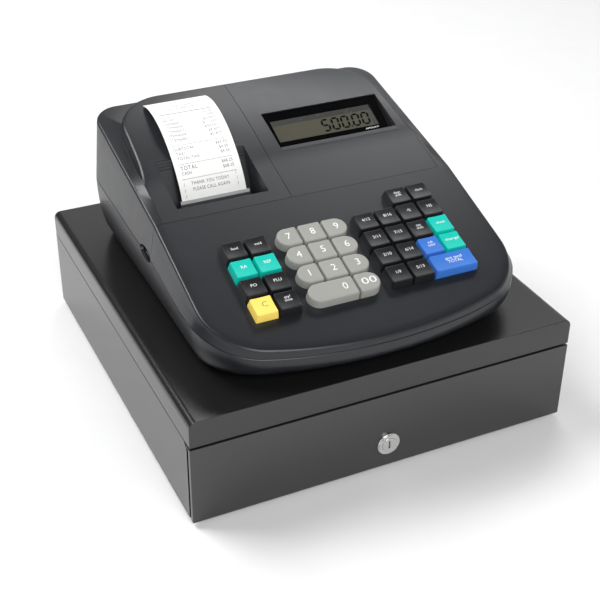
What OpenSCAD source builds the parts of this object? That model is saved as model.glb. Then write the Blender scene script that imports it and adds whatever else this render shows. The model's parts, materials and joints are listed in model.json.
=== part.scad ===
// Countertop cash register: a sheet steel cash drawer cabinet with a moulded plastic
// register head fixed on top of it. Millimetres, +Z up. The drawer opens towards -Y.
// The origin is on the surface it stands on, under the middle of the cabinet.

/* [Cabinet] */
// Width of the cabinet
cab_w = 330; // [328:1:345]
// Depth of the cabinet
cab_d = 350; // [350:1:365]
// Height of the cabinet above its feet
cab_h = 94; // [92:1:104]
// Depth of the cover's folded skirt
skirt_h = 23; // [20:1:26]
// Radius of the cover's folded side edges
edge_r = 6; // [4:0.5:8]
// Thickness of the sheet steel
sheet = 1.2; // [1:0.1:1.4]
// Height of the rubber feet
foot_h = 4; // [3:0.5:6]
// Radius of the rubber feet
foot_r = 10; // [8:1:14]

/* [Drawer] */
// How far the drawer opens
drawer_travel = 250; // [200:10:260]
// Depth of the drawer tray behind its front
tray_d = 292; // [285:1:296]
// Height of the drawer tray's walls
tray_h = 56; // [54:1:60]
// Number of banknote compartments
bill_slots = 4; // [3:1:4]
// Number of coin compartments
coin_slots = 5; // [4:1:6]
// Depth of the coin compartments
coin_d = 92; // [80:1:100]
// Radius of the rounded front and back of each coin cup
coin_r = 40; // [38:1:44]

/* [Lock] */
// Radius of the lock's face ring
lock_r = 9.8; // [9:0.1:11]
// Height of the lock's axis above the cabinet's bottom
lock_up = 22; // [20:1:24]
// How far the lock stands out of the drawer front
lock_proud = 2.5; // [1.5:0.1:3]
// Length of the lock's cam from its axis
cam_l = 16; // [15:0.5:17]

/* [Register head] */
// Width of the head across its sharp rim
rim_w = 267; // [265:1:272]
// Back of the rim
rim_back = 133.6; // [132:0.1:136]
// Front of the rim on the centre line
rim_front = -173.5; // [-174:0.1:-172]
// Radius of the rim's front corners
front_r = 52; // [46:1:56]
// Radius of the rim's bowed front edge
bow_r = 361; // [340:1:400]
// Radius of the rim's back corners
back_r = 22; // [18:1:28]
// Slope of the keyboard deck, in degrees
deck_slope = 18; // [17.5:0.1:18.5]
// Height of the deck above the cabinet, where it meets the hood
deck_top = 78; // [77:0.5:80]
// Place of the line where the deck meets the hood
deck_y = -25; // [-26:0.5:-24]
// Outward flare of the side walls
flare = 4.5; // [4:0.1:5]
// Wall thickness of the mouldings
wall = 2.5; // [2.2:0.1:2.8]
// Gap of the parting lines
seam_gap = 0.4; // [0.3:0.05:0.6]

/* [Keys] */
// Spacing of the function keys
key_pitch = 19.6; // [19.4:0.05:19.8]
// Spacing of the digit keys across
digit_w = 20.7; // [20.4:0.05:20.9]
// Spacing of the digit keys up the slope
digit_l = 20.1; // [19.9:0.05:20.3]
// Gap between neighbouring keys at their skirts
key_gap = 1; // [0.8:0.1:1.2]
// Height of the key tops above the deck
key_rise = 7.5; // [6.5:0.5:8.5]
// Travel of the keys
key_travel = 3.2; // [2.5:0.1:3.4]

/* [Printer] */
// Width of the paper
paper_w = 57; // [56:0.5:58]
// Outer radius of the full paper roll
roll_r = 28; // [24:1:29]
// Radius of the spindle that holds the roll
spindle_r = 6; // [5:0.5:6.5]
// Radius of the platen roller
platen_r = 6; // [5.5:0.1:6]

/* [Hidden] */
// Running clearance of a shaft in its hole, on the radius
fit = 0.06;
// Overlap that joins solids or clears a cut
eps = 0.01;
$fn = 48;

// Cabinet levels
floor_z = foot_h;
head_z = foot_h + cab_h;
skirt_z = head_z - skirt_h;
front_y = -cab_d / 2;
back_y = cab_d / 2;
side_x = cab_w / 2;
// The drawer front's side returns, and the gap between them and the cabinet's sides
return_d = 4;
shadow_gap = 3;
side_front_y = front_y + return_d + shadow_gap;
// Step between the cabinet's sides and the strips that stand up behind the skirt
joggle = sheet + 0.3;
lip_h = 8;
// Level of the strips and the cross rail, under the cover's rounded folds
under_z = head_z - edge_r;

// Drawer tray
tray_x = 150;
tray_z = 14;
tray_back_y = front_y + sheet + tray_d;
tray_wall_y = front_y + 16;
rail_z = 30;
rail_gap = 3;
rail_w = 10;

// Till insert, and the clips that hold the banknotes down
till_x = tray_x - sheet - 1;
till_y0 = tray_wall_y + sheet + 1;
till_y1 = tray_back_y - sheet - 1;
till_z0 = tray_z + sheet + eps;
till_h = 52;
till_wall = 2;
bill_y0 = till_y0 + coin_d + 2 * till_wall;
clip_y = till_y1 - till_wall - 7;
clip_z = till_z0 + 25;
clip_rod_r = 2;
clip_arm = 50;
clip_drop = 22.4;
clip_w = 24;

// Lock and latch
lock_z = floor_z + lock_up;
plug_r = 6;
barrel_r = 8.2;
latch_y = 160;
latch_z = 42;
latch_x = 14;
latch_pin_r = 2.5;
hook_y = 131;

// Places in the head, as heights above the cabinet's top
foot_gap = 2;
fold_y = 20;
fold_z = 92.3;
hood_break_y = 74;
hood_break_z = 110.5;
hood_back_y = 123;
hood_back_z = 122.3;
hood_w = 249.4;
hood_back_w = 242.6;
hood_corner_r = 45;
rim_slope = 12.6;
base_inset = 8.5;
head_mid = [0, -20];
// Parting line of the head: place from front to back, and height above the cabinet
seam_levels = [[-176, 24.4], [-166, 25.3], [-157, 27.4], [-148, 30], [-134, 34.4], [-121, 37],
               [-110, 37.4], [-90, 37.8], [-75, 40], [-28, 48], [160, 58]];
// Level inside the lower tier from which the hood's walls rise
tier_join = 66;
split_x = -14.4;
hood_slope = atan((hood_break_z - fold_z) / (hood_break_y - fold_y));

// Display opening on the hood's slope: across, and up the slope from its lower fold
window_x = [0, 111.5];
window_s = [8.5, 54.5];
// Depth of the window at its upper edge, and its tilt from the hood's slope
window_top = 1.2;
window_tilt = 5.4;
glass_x = [5, 101];
glass_s = [-35, -8];

// Key wells on the deck: across, and up the slope from the line where it meets the hood
left_x = -95.2;
digit_x = -49.8;
right_x = 18.9;
row_s = -18.2;
digit_s = -36.5;
well_floor = -10;
well_wall = 1.5;
board_n = -16;
stem = 5;

// Paper path
paper_x = -66;
recess_x = [-109.5, -30];
roll_y = 82;
roll_z = 48;
platen_y = 22;
platen_z = 46;
printer_x = [-99, -33];
journal_r = 2.5;

// Mains cord outlet in the back of the head
outlet_x = 90;
outlet_z = 16;
outlet_r = 4;

// Name, block, column, row and width in cells of each key, and its colour
KEYS = [
    ["key_feed", "left", 0, 1, 1, "#1e2022"],
    ["key_void", "left", 1, 1, 1, "#1e2022"],
    ["key_on_account", "left", 0, 2, 1, "#1acfc1"],
    ["key_refund", "left", 1, 2, 1, "#1acfc1"],
    ["key_paid_out", "left", 0, 3, 1, "#1e2022"],
    ["key_look_up", "left", 1, 3, 1, "#1e2022"],
    ["key_clear", "left", 0, 4, 1, "#ffe27a"],
    ["key_quantity", "left", 1, 4, 1, "#1e2022"],
    ["key_digit_7", "digit", 0, 0, 1, "#afafaa"],
    ["key_digit_8", "digit", 1, 0, 1, "#afafaa"],
    ["key_digit_9", "digit", 2, 0, 1, "#afafaa"],
    ["key_digit_4", "digit", 0, 1, 1, "#afafaa"],
    ["key_digit_5", "digit", 1, 1, 1, "#afafaa"],
    ["key_digit_6", "digit", 2, 1, 1, "#afafaa"],
    ["key_digit_1", "digit", 0, 2, 1, "#afafaa"],
    ["key_digit_2", "digit", 1, 2, 1, "#afafaa"],
    ["key_digit_3", "digit", 2, 2, 1, "#afafaa"],
    ["key_digit_0", "digit", 0, 3, 2, "#afafaa"],
    ["key_digit_00", "digit", 2, 3, 1, "#afafaa"],
    ["key_department_shift", "right", 2, 0, 1, "#1e2022"],
    ["key_clerk", "right", 3, 0, 1, "#1e2022"],
    ["key_department_4", "right", 0, 1, 1, "#1e2022"],
    ["key_department_8", "right", 1, 1, 1, "#1e2022"],
    ["key_percent", "right", 2, 1, 1, "#1e2022"],
    ["key_no_sale", "right", 3, 1, 1, "#1e2022"],
    ["key_department_3", "right", 0, 2, 1, "#1e2022"],
    ["key_department_7", "right", 1, 2, 1, "#1e2022"],
    ["key_tax_shift", "right", 2, 2, 1, "#1e2022"],
    ["key_check", "right", 3, 2, 1, "#1acfc1"],
    ["key_department_2", "right", 0, 3, 1, "#1e2022"],
    ["key_department_6", "right", 1, 3, 1, "#1e2022"],
    ["key_subtotal", "right", 2, 3, 1, "#4983d0"],
    ["key_charge", "right", 3, 3, 1, "#1acfc1"],
    ["key_department_1", "right", 0, 4, 1, "#1e2022"],
    ["key_department_5", "right", 1, 4, 1, "#1e2022"],
    ["key_total", "right", 2, 4, 2, "#4983d0"],
];

// Straight-line interpolation
function mix(a, b, t) = a + (b - a) * t;

// Points along an arc about a centre
function arc(cx, cy, r, a0, a1, n) =
    [for (i = [0:n]) let (a = mix(a0, a1, i / n)) [cx + r * cos(a), cy + r * sin(a)]];

// Height of the head's surfaces above the cabinet, along the centre line
function rim_height(y) =
    deck_top + (y - deck_y) * tan(y < deck_y ? deck_slope : rim_slope);
function seam_height(y) = lookup(y, seam_levels);

// A soft step from 0 at a to 1 at b
function ease(a, b, y) =
    let (t = min(1, max(0, (y - a) / (b - a))))
    t * t * (3 - 2 * t);

// Plan outline of the rim, grown by d, anticlockwise from above
function outline(d) =
    let (
        hw = rim_w / 2,
        turn = asin((hw - front_r) / (bow_r - front_r)),
        fy = rim_front + bow_r - (bow_r - front_r) * cos(turn),
        sides = [fy, -90, -75, -28, -25, 20, 66]
    )
    concat(
        [for (y = sides) [hw + d, y]],
        arc(hw - back_r, rim_back - back_r, back_r + d, 0, 90, 7),
        arc(-hw + back_r, rim_back - back_r, back_r + d, 90, 180, 7),
        [for (i = [len(sides) - 1:-1:0]) [-hw - d, sides[i]]],
        [for (p = arc(-hw + front_r, fy, front_r + d, 180, 270 - turn, 12)) if (p[1] < fy - eps) p],
        [for (i = [1:9]) let (a = mix(270 - turn, 270 + turn, i / 10))
            [(bow_r + d) * cos(a), rim_front + bow_r + (bow_r + d) * sin(a)]],
        [for (p = arc(hw - front_r, fy, front_r + d, 270 + turn, 360, 12)) if (p[1] < fy - eps) p]
    );

// A solid through rings of equally many points, closed at each end by a fan about a centre
module loft(rings, centre) {
    n = len(rings[0]);
    m = len(rings);
    low = [centre[0], centre[1], rings[0][0][2]];
    high = [centre[0], centre[1], rings[m - 1][0][2]];
    walls = [for (k = [0:m - 2], i = [0:n - 1], half = [0, 1])
        let (a = k * n + i, b = k * n + (i + 1) % n)
        half == 0 ? [a, a + n, b] : [b, a + n, b + n]];
    caps = [for (i = [0:n - 1], end = [0, 1])
        let (j = (i + 1) % n)
        end == 0 ? [m * n, i, j] : [m * n + 1, (m - 1) * n + j, (m - 1) * n + i]];
    polyhedron(
        points = concat([for (r = rings) each r], [low, high]),
        faces = concat(walls, caps)
    );
}

// Side profile (Y, Z) extruded across the head, between two X values
module across(x0, x1) {
    translate([x0, 0, 0])
        rotate([90, 0, 90])
            linear_extrude(height = x1 - x0)
                children();
}

// Front profile (X, Z) extruded along Y, between two Y values
module along(y0, y1) {
    translate([0, y1, 0])
        rotate([90, 0, 0])
            linear_extrude(height = y1 - y0)
                children();
}

// A block given by its lowest and highest corners
module block(a, b) {
    translate(a)
        cube(b - a);
}

// A shaft or hole along X, between two X values
module rod_x(x0, x1, y, z, r) {
    translate([x0, y, z])
        rotate([0, 90, 0])
            cylinder(r = r, h = x1 - x0);
}

// A shaft or hole along Y, between two Y values
module rod_y(y0, y1, x, z, r) {
    translate([x, y0, z])
        rotate([-90, 0, 0])
            cylinder(r = r, h = y1 - y0);
}

// Places children in the deck's frame: X across, Y up the slope, Z out of the deck
module on_deck() {
    translate([0, deck_y, head_z + deck_top])
        rotate([deck_slope, 0, 0])
            children();
}

// Places children in the display slope's frame
module on_hood() {
    translate([0, fold_y, head_z + fold_z])
        rotate([hood_slope, 0, 0])
            children();
}

// Places children in the display's frame: Y runs up the window and is 0 at its upper edge
module on_display() {
    on_hood()
        translate([0, window_s[1], -window_top])
            rotate([window_tilt, 0, 0])
                children();
}

// ---------------------------------------------------------------- cabinet

module cover_profile(w, z0, z1, r) {
    translate([-w / 2, z0])
        square([w, z1 - z0 - r]);
    translate([-w / 2 + r, z0])
        square([w - 2 * r, z1 - z0]);
    for (s = [-1, 1])
        translate([s * (w / 2 - r), z1 - r])
            circle(r);
}

module cabinet_cover() color("#232427")
    difference() {
        along(front_y, back_y)
            cover_profile(cab_w, skirt_z, head_z, edge_r);
        along(front_y + sheet, back_y - sheet)
            cover_profile(cab_w - 2 * sheet, skirt_z - 1, head_z - sheet, edge_r - sheet);
    }

// One side of the cabinet, with the angled cut at the top of its front edge
module side_panel() {
    top = skirt_z - seam_gap;
    across(side_x - sheet, side_x)
        polygon([[side_front_y, floor_z], [back_y, floor_z], [back_y, top],
                 [side_front_y + 5, top], [side_front_y, top - 5]]);
    block([side_x - 2 * sheet, side_front_y + 6, top - lip_h],
          [side_x - sheet, back_y, top]);
    block([side_x - joggle - sheet, side_front_y + 6, top - lip_h],
          [side_x - joggle, back_y - joggle, under_z]);
    // Channel that carries the drawer's flange
    block([tray_x + 2.5, -150, rail_z], [side_x - sheet, 165, rail_z + sheet]);
    block([tray_x + 2.5, -150, rail_z + sheet + rail_gap],
          [side_x - sheet, 165, rail_z + 2 * sheet + rail_gap]);
}

module latch_ear(x) {
    difference() {
        union() {
            block([x, latch_y - 6, floor_z + sheet - eps], [x + 2, latch_y + 6, latch_z]);
            rod_x(x, x + 2, latch_y, latch_z, 6);
        }
        rod_x(x - 1, x + 3, latch_y, latch_z, latch_pin_r + fit);
    }
}

module cabinet_body() color("#232427") {
    top = skirt_z - seam_gap;
    for (s = [0, 1])
        mirror([s, 0, 0])
            side_panel();
    block([-side_x, side_front_y, floor_z], [side_x, back_y, floor_z + sheet]);
    // Upturned front lip of the floor, which the lock's cam catches behind
    block([-side_x + 12, side_front_y, floor_z], [side_x - 12, side_front_y + sheet, floor_z + lip_h]);
    block([-side_x, back_y - sheet, floor_z], [side_x, back_y, top]);
    block([-side_x + joggle, back_y - joggle - sheet, top - lip_h],
          [side_x - joggle, back_y - joggle, under_z]);
    block([-side_x + joggle, back_y - joggle, top - lip_h], [side_x - joggle, back_y - sheet, top]);
    // Cross rail behind the front skirt
    block([-side_x + joggle, front_y + sheet + 1, skirt_z + 4],
          [side_x - joggle, front_y + 2 * sheet + 1, under_z]);
    block([-side_x + joggle, front_y + sheet + 1, under_z - sheet],
          [side_x - joggle, side_front_y + 9, under_z]);
    for (x = [-latch_x - 4, latch_x + 2])
        latch_ear(x);
}

module rubber_feet() color("#141414")
    for (x = [-1, 1], y = [-1, 1])
        translate([x * (side_x - 18), y * (back_y - 22), 0]) {
            cylinder(r1 = foot_r - 1, r2 = foot_r, h = foot_h);
        }

// ---------------------------------------------------------------- drawer

module drawer_front() color("#232427") {
    top = skirt_z - 2;
    difference() {
        union() {
            block([-side_x, front_y, floor_z], [side_x, front_y + sheet, top]);
            for (s = [0, 1])
                mirror([s, 0, 0])
                    block([side_x - sheet, front_y, floor_z], [side_x, front_y + return_d, top]);
            block([-side_x, front_y, floor_z], [side_x, front_y + return_d, floor_z + sheet]);
            block([-side_x, front_y, top - sheet], [side_x, front_y + return_d + 4, top]);
        }
        rod_y(front_y - 1, front_y + 8, 0, lock_z, barrel_r);
    }
}

module drawer_tray() color("#3b3c3e") {
    for (s = [0, 1])
        mirror([s, 0, 0]) {
            block([tray_x - sheet, front_y + sheet, tray_z], [tray_x, tray_back_y, tray_z + tray_h]);
            block([tray_x - eps, front_y + 24, rail_z + sheet + 0.4],
                  [tray_x + rail_w, tray_back_y, rail_z + 2 * sheet + 0.4]);
        }
    block([-tray_x, tray_wall_y, tray_z], [tray_x, tray_back_y, tray_z + sheet]);
    block([-tray_x, tray_wall_y, tray_z], [tray_x, tray_wall_y + sheet, tray_z + tray_h]);
    block([-tray_x, tray_back_y - sheet, tray_z], [tray_x, tray_back_y, tray_z + tray_h]);
    // Striker plate that the latch hook drops into
    difference() {
        block([-8, tray_back_y - eps, 25], [8, hook_y + 9, 27]);
        block([-5, hook_y - 4, 24], [5, hook_y + 6, 28]);
    }
}

// Clear width of one compartment when n of them share the till's width
function slot_w(n) = (2 * till_x - (n + 1) * till_wall) / n;
function slot_x(n, i) = -till_x + till_wall + i * (slot_w(n) + till_wall);

module till_insert() color("#2c2d2f")
    difference() {
        block([-till_x, till_y0, till_z0], [till_x, till_y1, till_z0 + till_h]);
        for (i = [0:coin_slots - 1])
            coin_cup(slot_x(coin_slots, i), slot_w(coin_slots));
        for (i = [0:bill_slots - 1])
            block([slot_x(bill_slots, i), bill_y0, till_z0 + till_wall],
                  [slot_x(bill_slots, i) + slot_w(bill_slots), till_y1 - till_wall, till_z0 + till_h + 1]);
        rod_x(-till_x - 1, till_x + 1, clip_y, clip_z, clip_rod_r + fit);
    }

// A coin compartment with a scooped front and back
module coin_cup(x, w) {
    y0 = till_y0 + till_wall;
    y1 = y0 + coin_d;
    z = till_z0 + till_wall;
    block([x, y0 + coin_r, z], [x + w, y1 - coin_r, till_z0 + till_h + 1]);
    block([x, y0, z + coin_r], [x + w, y1, till_z0 + till_h + 1]);
    for (y = [y0 + coin_r, y1 - coin_r])
        rod_x(x, x + w, y, z + coin_r, coin_r);
}

// A sprung banknote clip: a hub on its rod, an arm that slopes down and a flat paddle
module bill_clip(i) color("#8e9094") {
    x0 = slot_x(bill_slots, i);
    w = slot_w(bill_slots);
    mid = x0 + w / 2;
    tip_y = clip_y - clip_arm;
    tip_z = clip_z - clip_drop;
    rod_x(x0 - till_wall / 2 + 0.1, x0 + w + till_wall / 2 - 0.1, clip_y, clip_z, clip_rod_r);
    rod_x(mid - 7, mid + 7, clip_y, clip_z, 4);
    across(mid - 5, mid + 5)
        polygon([[clip_y, clip_z - 3.5], [clip_y, clip_z + 3.5], [tip_y - 1, tip_z + 3], [tip_y, tip_z]]);
    across(mid - clip_w / 2, mid + clip_w / 2)
        polygon([[tip_y - 14, tip_z + 3], [tip_y - 13, tip_z + 4.4], [tip_y + 1, tip_z + 3.2],
                 [tip_y + 5, tip_z + 3.2], [tip_y + 5, tip_z + 1], [tip_y, tip_z]]);
}

// ---------------------------------------------------------------- lock and latch

module lock_barrel() color("#c9cbcd")
    difference() {
        union() {
            rod_y(front_y - lock_proud + 0.8, front_y, 0, lock_z, lock_r);
            rod_y(front_y - lock_proud, front_y - lock_proud + 0.8 + eps, 0, lock_z, lock_r - 0.8);
            rod_y(front_y - eps, front_y + 9, 0, lock_z, barrel_r);
        }
        rod_y(front_y - 10, front_y + 10, 0, lock_z, plug_r + fit);
        // Two notches in the face ring
        for (a = [35, 215])
            translate([0, front_y - lock_proud - 1, lock_z])
                rotate([0, a, 0])
                    block([plug_r + 1, 0, -1.2], [lock_r - 1.4, 2, 1.2]);
    }

module lock_plug() color("#b4b6b8") {
    difference() {
        rod_y(front_y - lock_proud - 0.3, front_y + 10, 0, lock_z, plug_r);
        block([-0.7, front_y - lock_proud - 1, lock_z - 3.6],
              [0.7, front_y - lock_proud + 5, lock_z + 3.6]);
    }
    // Cam, which turns down behind the floor's lip
    block([-4, front_y + 9.5, lock_z - 4], [cam_l, front_y + 11.5, lock_z + 4]);
}

module drawer_latch() color("#8c8e90") {
    rod_x(-latch_x - 4, latch_x + 4, latch_y, latch_z, latch_pin_r);
    rod_x(-latch_x + 1, latch_x - 1, latch_y, latch_z, 5);
    // Arm and hook in front of the pin, and the heavier armature plate behind it
    block([-4, hook_y - 3, latch_z - 2], [4, latch_y, latch_z + 2]);
    block([-3, hook_y - 2.5, 29], [3, hook_y + 2.5, latch_z]);
    block([-latch_x + 2, latch_y, latch_z - 3], [latch_x - 2, latch_y + 11, latch_z + 5]);
}

// ---------------------------------------------------------------- register head

// A ring of the base shell at t, from 0 at the parting line to 1 at the bottom,
// moved in by the wall thickness and down to its own lowest level
function base_ring(t, inset, z0) =
    [for (p = outline((flare + base_inset) * sqrt(1 - t * t) - base_inset - inset))
        [p[0], p[1] + pull(p[1]) * (1 - t) + tuck(p[1]) * (1 - sqrt(1 - t * t)),
         head_z + mix(seam_at(p[1]) - seam_gap, z0, t)]];

// A ring of the upper case's flared wall: t is 0 at the parting line and 1 at the rim
function wall_ring(t, inset) =
    [for (p = outline(flare * (1 - t) - inset))
        [p[0], p[1] + pull(p[1]) * (1 - t),
         head_z + mix(seam_at(p[1]), rim_height(p[1]), t)]];

// The front wall doesn't flare, so its lower rings move back as they near the front
function pull(y) = y < -105 ? min(flare, (-105 - y) / 12) : 0;

// Height of the parting line at a point of the outline, once it has moved back
function seam_at(y) = seam_height(y + pull(y));

// How far the base's front is tucked under the head at its foot
function tuck(y) = 20 * ease(-70, -172, y);

module above(line_y, line_z, top) {
    polygon(concat(
        [for (i = [0:len(line_y) - 1]) [line_y[i], line_z[i]]],
        [[line_y[len(line_y) - 1], top], [line_y[0], top]]
    ));
}

rim_line = [-200, deck_y, 160];
seam_line = concat([-200], [for (p = seam_levels) p[0]]);

// The lower tier, up to the sloping rim, and the hood that stands on it
module lower_tier(inset) {
    difference() {
        loft([for (t = [-0.6, -0.05, 1.05, 4]) wall_ring(t, inset)], head_mid);
        across(-200, 200)
            above(rim_line, [for (y = rim_line) head_z + rim_height(y) - inset], 500);
        across(-200, 200)
            above(seam_line, [for (y = seam_line) head_z + seam_height(y)], -100);
    }
}

module hood_tier(inset) {
    r = hood_corner_r - inset;
    w = hood_back_w / 2;
    y = hood_back_y - hood_corner_r;
    intersection() {
        translate([0, 0, head_z + tier_join])
            linear_extrude(height = 100)
                polygon(concat(
                    [[hood_w / 2 - inset, deck_y + inset * 2], [hood_w / 2 - inset, fold_y]],
                    arc(w - hood_corner_r, y, r, 0, 90, 9),
                    arc(-w + hood_corner_r, y, r, 90, 180, 9),
                    [[-hood_w / 2 + inset, fold_y], [-hood_w / 2 + inset, deck_y + inset * 2]]
                ));
        across(-200, 200)
            polygon([[deck_y, head_z], [deck_y, head_z + deck_top - inset],
                     [fold_y, head_z + fold_z - inset], [hood_break_y, head_z + hood_break_z - inset],
                     [hood_back_y, head_z + hood_back_z - inset], [hood_back_y, head_z]]);
    }
}

// Soft ramp that brings the rim strip up to the hood's lower fold
module strip_ramp(s) {
    x0 = s * (hood_w / 2 - 1);
    x1 = s * rim_w / 2;
    points = [[x0, deck_y, deck_top], [x0, 48, rim_height(48)], [x0, fold_y - 2, fold_z - 0.8],
              [x1, fold_y - 2, rim_height(fold_y - 2)]];
    hull()
        for (drop = [0, 1], p = points)
            translate([p[0], p[1], head_z + p[2] - drop - 0.05])
                cube(0.05, center = true);
}

module head_shell() {
    difference() {
        union() {
            lower_tier(0);
            hood_tier(0);
            strip_ramp(-1);
            strip_ramp(1);
        }
        lower_tier(wall);
        hood_tier(wall);
    }
}

// The part of the shell that lifts off with the printer cover, shrunk by a gap
module cover_region(gap) {
    block([-200, deck_y + gap / 2, head_z], [split_x - gap / 2, 200, head_z + 200]);
}

module recess_profile(grow) {
    polygon([[-13.3 - grow, head_z + 101.7], [-13.3 - grow, head_z + 81.7],
             [2 - grow, head_z + 62 - grow], [22.5 + grow, head_z + 62 - grow],
             [39.5 + grow, head_z + 98.9], [39.5 + grow, head_z + 118]]);
}

// Three small ribs across the top of the recess's back wall
module recess_ribs() {
    lean = atan2(36.9, 17);
    across(recess_x[0] - 1, recess_x[1] + 1)
        for (d = [2, 4.6, 7.2])
            translate([39.5 - d * cos(lean), head_z + 98.9 - d * sin(lean)])
                rotate(lean)
                    square([0.9, 1.6], center = true);
}

module printer_cover() color("#47484b") {
    recess_ribs();
    difference() {
        union() {
            intersection() {
                head_shell();
                cover_region(seam_gap);
            }
            intersection() {
                across(recess_x[0] - 2, recess_x[1] + 2)
                    recess_profile(2);
                hood_tier(0.5);
            }
        }
        across(recess_x[0], recess_x[1])
            recess_profile(0);
        block([paper_x - 34, 10, head_z + 50], [paper_x + 34, 22, head_z + 70]);
        thumb_notch();
    }
}

// Shallow round notch across the parting line, for lifting the printer cover
module thumb_notch() {
    rod_x(-rim_w / 2 - flare - 5, -rim_w / 2 - flare + 2, deck_y + 9, head_z + 48, 6.5);
}

module tear_bar() color("#9a9c9e", 0.8)
    across(paper_x - 31, paper_x + 31)
        polygon([[9.2, head_z + 59], [11, head_z + 59], [14.9, head_z + 70], [14, head_z + 70.4]]);

// Outline of a key's section, shrunk by inset: square corners are cut off, and the outer
// ends of the digit block are round
function key_ring(k, inset, n) =
    let (
        digits = k[1] == "digit",
        c = key_centre(k),
        hx = k[4] * (digits ? digit_w : key_pitch) / 2 - inset,
        hy = (digits ? digit_l : key_pitch) / 2 - inset,
        cut = 0.8,
        right_end = digits && k[2] + k[4] == 3
            ? arc(hx - hy, 0, hy, -90, 90, 10)
            : [[hx - cut, -hy], [hx, -hy + cut], [hx, hy - cut], [hx - cut, hy]],
        left_end = digits && k[2] == 0
            ? arc(-hx + hy, 0, hy, 90, 270, 10)
            : [[-hx + cut, hy], [-hx, hy - cut], [-hx, -hy + cut], [-hx + cut, -hy]]
    )
    [for (p = concat(right_end, left_end)) [c[0] + p[0], c[1] + p[1], n]];

function key_centre(k) =
    let (
        digits = k[1] == "digit",
        dx = digits ? digit_w : key_pitch,
        dy = digits ? digit_l : key_pitch,
        x0 = k[1] == "left" ? left_x : digits ? digit_x : right_x,
        y1 = digits ? digit_s : row_s
    )
    [x0 + (k[2] + k[4] / 2) * dx, y1 - (k[3] + 0.5) * dy];

module key(k) color(k[5])
    on_deck() {
        c = key_centre(k);
        loft([key_ring(k, key_gap / 2, -4), key_ring(k, key_gap / 2, 1.5),
              key_ring(k, key_gap / 2 + 1.2, key_rise)], c);
        translate([c[0] - stem / 2, c[1] - stem / 2, board_n + 4])
            cube([stem, stem, -board_n - 7.5]);
    }

// A block of keys on the deck, as across and up-slope limits
module well(x0, x1, s0, s1, n0, n1, grow) {
    translate([x0 - grow, s0 - grow, n0])
        cube([x1 - x0 + 2 * grow, s1 - s0 + 2 * grow, n1 - n0]);
}

module wells(n0, n1, grow) {
    low_s = row_s - 5 * key_pitch;
    well(left_x, left_x + 2 * key_pitch, low_s, row_s - key_pitch, n0, n1, grow);
    well(right_x, right_x + 4 * key_pitch, low_s, row_s - key_pitch, n0, n1, grow);
    well(right_x + 2 * key_pitch, right_x + 4 * key_pitch, low_s, row_s, n0, n1, grow);
    digit_low = digit_s - 4 * digit_l;
    r = digit_l / 2 - key_gap / 2;
    x1 = digit_x + 3 * digit_w;
    well(digit_x + r, x1 - r, digit_low, digit_s, n0, n1, grow);
    for (j = [0:3], x = [digit_x + key_gap / 2 + r, x1 - key_gap / 2 - r])
        translate([x, digit_low + (j + 0.5) * digit_l, n0])
            cylinder(r = r + key_gap / 2 + grow, h = n1 - n0);
}

module upper_case() color("#3f4144")
    difference() {
        union() {
            difference() {
                head_shell();
                cover_region(-seam_gap);
            }
            on_deck() {
                wells(well_floor, -1, well_wall);
                for (x = [-94, -52, 15, 94], s = [-25, -112])
                    translate([x, s, board_n])
                        cylinder(r = 2, h = 15);
            }
            // Frame around the display, which the LCD module lies against
            difference() {
                on_hood()
                    block([window_x[0] - 2, window_s[0] - 2, -12],
                          [window_x[1] + 2, window_s[1] + 2, -1]);
                on_display()
                    block([window_x[0] - 9, -60, -20], [window_x[1] + 9, 20, -4]);
            }
            // Screw posts that stand on the base's posts
            intersection() {
                for (p = posts)
                    translate([p[0], p[1], head_z + 32])
                        cylinder(r = 4, h = 120);
                union() {
                    lower_tier(1);
                    hood_tier(1);
                }
            }
        }
        on_deck() {
            wells(well_floor + 1.5, 2, 0);
            for (k = KEYS)
                translate([key_centre(k)[0], key_centre(k)[1], well_floor + 1])
                    cube([stem + 1.2, stem + 1.2, 4], center = true);
        }
        on_hood()
            block([window_x[0], window_s[0], -12], [window_x[1], window_s[1], 2]);
    }

posts = [[112, -95], [-112, -95], [112, 100], [0, 112]];

module head_base() color("#3a3b3e")
    difference() {
        union() {
            difference() {
                loft([for (t = [1, 0.93, 0.8, 0.6, 0.35, 0]) base_ring(t, 0, foot_gap)], head_mid);
                loft([for (t = [1, 0.93, 0.8, 0.6, 0.35, 0, -0.3]) base_ring_in(t)], head_mid);
            }
            for (x = [-95, 95], y = [-120, 100])
                translate([x, y, head_z])
                    cylinder(r = 7, h = foot_gap + 1);
            for (p = posts)
                translate([p[0], p[1], head_z + foot_gap + 1])
                    cylinder(r = 4.5, h = 29 - foot_gap);
            rod_y(rim_back - 9, rim_back + 2, outlet_x, head_z + outlet_z, outlet_r + 3);
        }
        rod_y(rim_back - 12, rim_back + 6, outlet_x, head_z + outlet_z, outlet_r);
        thumb_notch();
    }

// Inner rings of the base: the same shape less the wall, open above the parting line
function base_ring_in(t) =
    t < 0
    ? [for (p = base_ring(0, wall, foot_gap + wall)) [p[0], p[1], p[2] + 12]]
    : base_ring(t, wall, foot_gap + wall);

module display_window() color("#0c0c0d")
    on_display()
        block([window_x[0] + 0.3, window_s[0] - window_s[1] + 0.2, -2], [window_x[1] - 0.3, -0.3, 0]);

module display_lcd() color("#5c5a4d")
    on_display() {
        block([window_x[0] - 1, window_s[0] - window_s[1] - 1, -9], [window_x[1] + 1, 1, -4]);
        block([glass_x[0] - 1, glass_s[0] - 1, -4 - eps], [glass_x[1] + 1, glass_s[1] + 1, -2.1]);
    }

// ---------------------------------------------------------------- printer and paper

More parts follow.
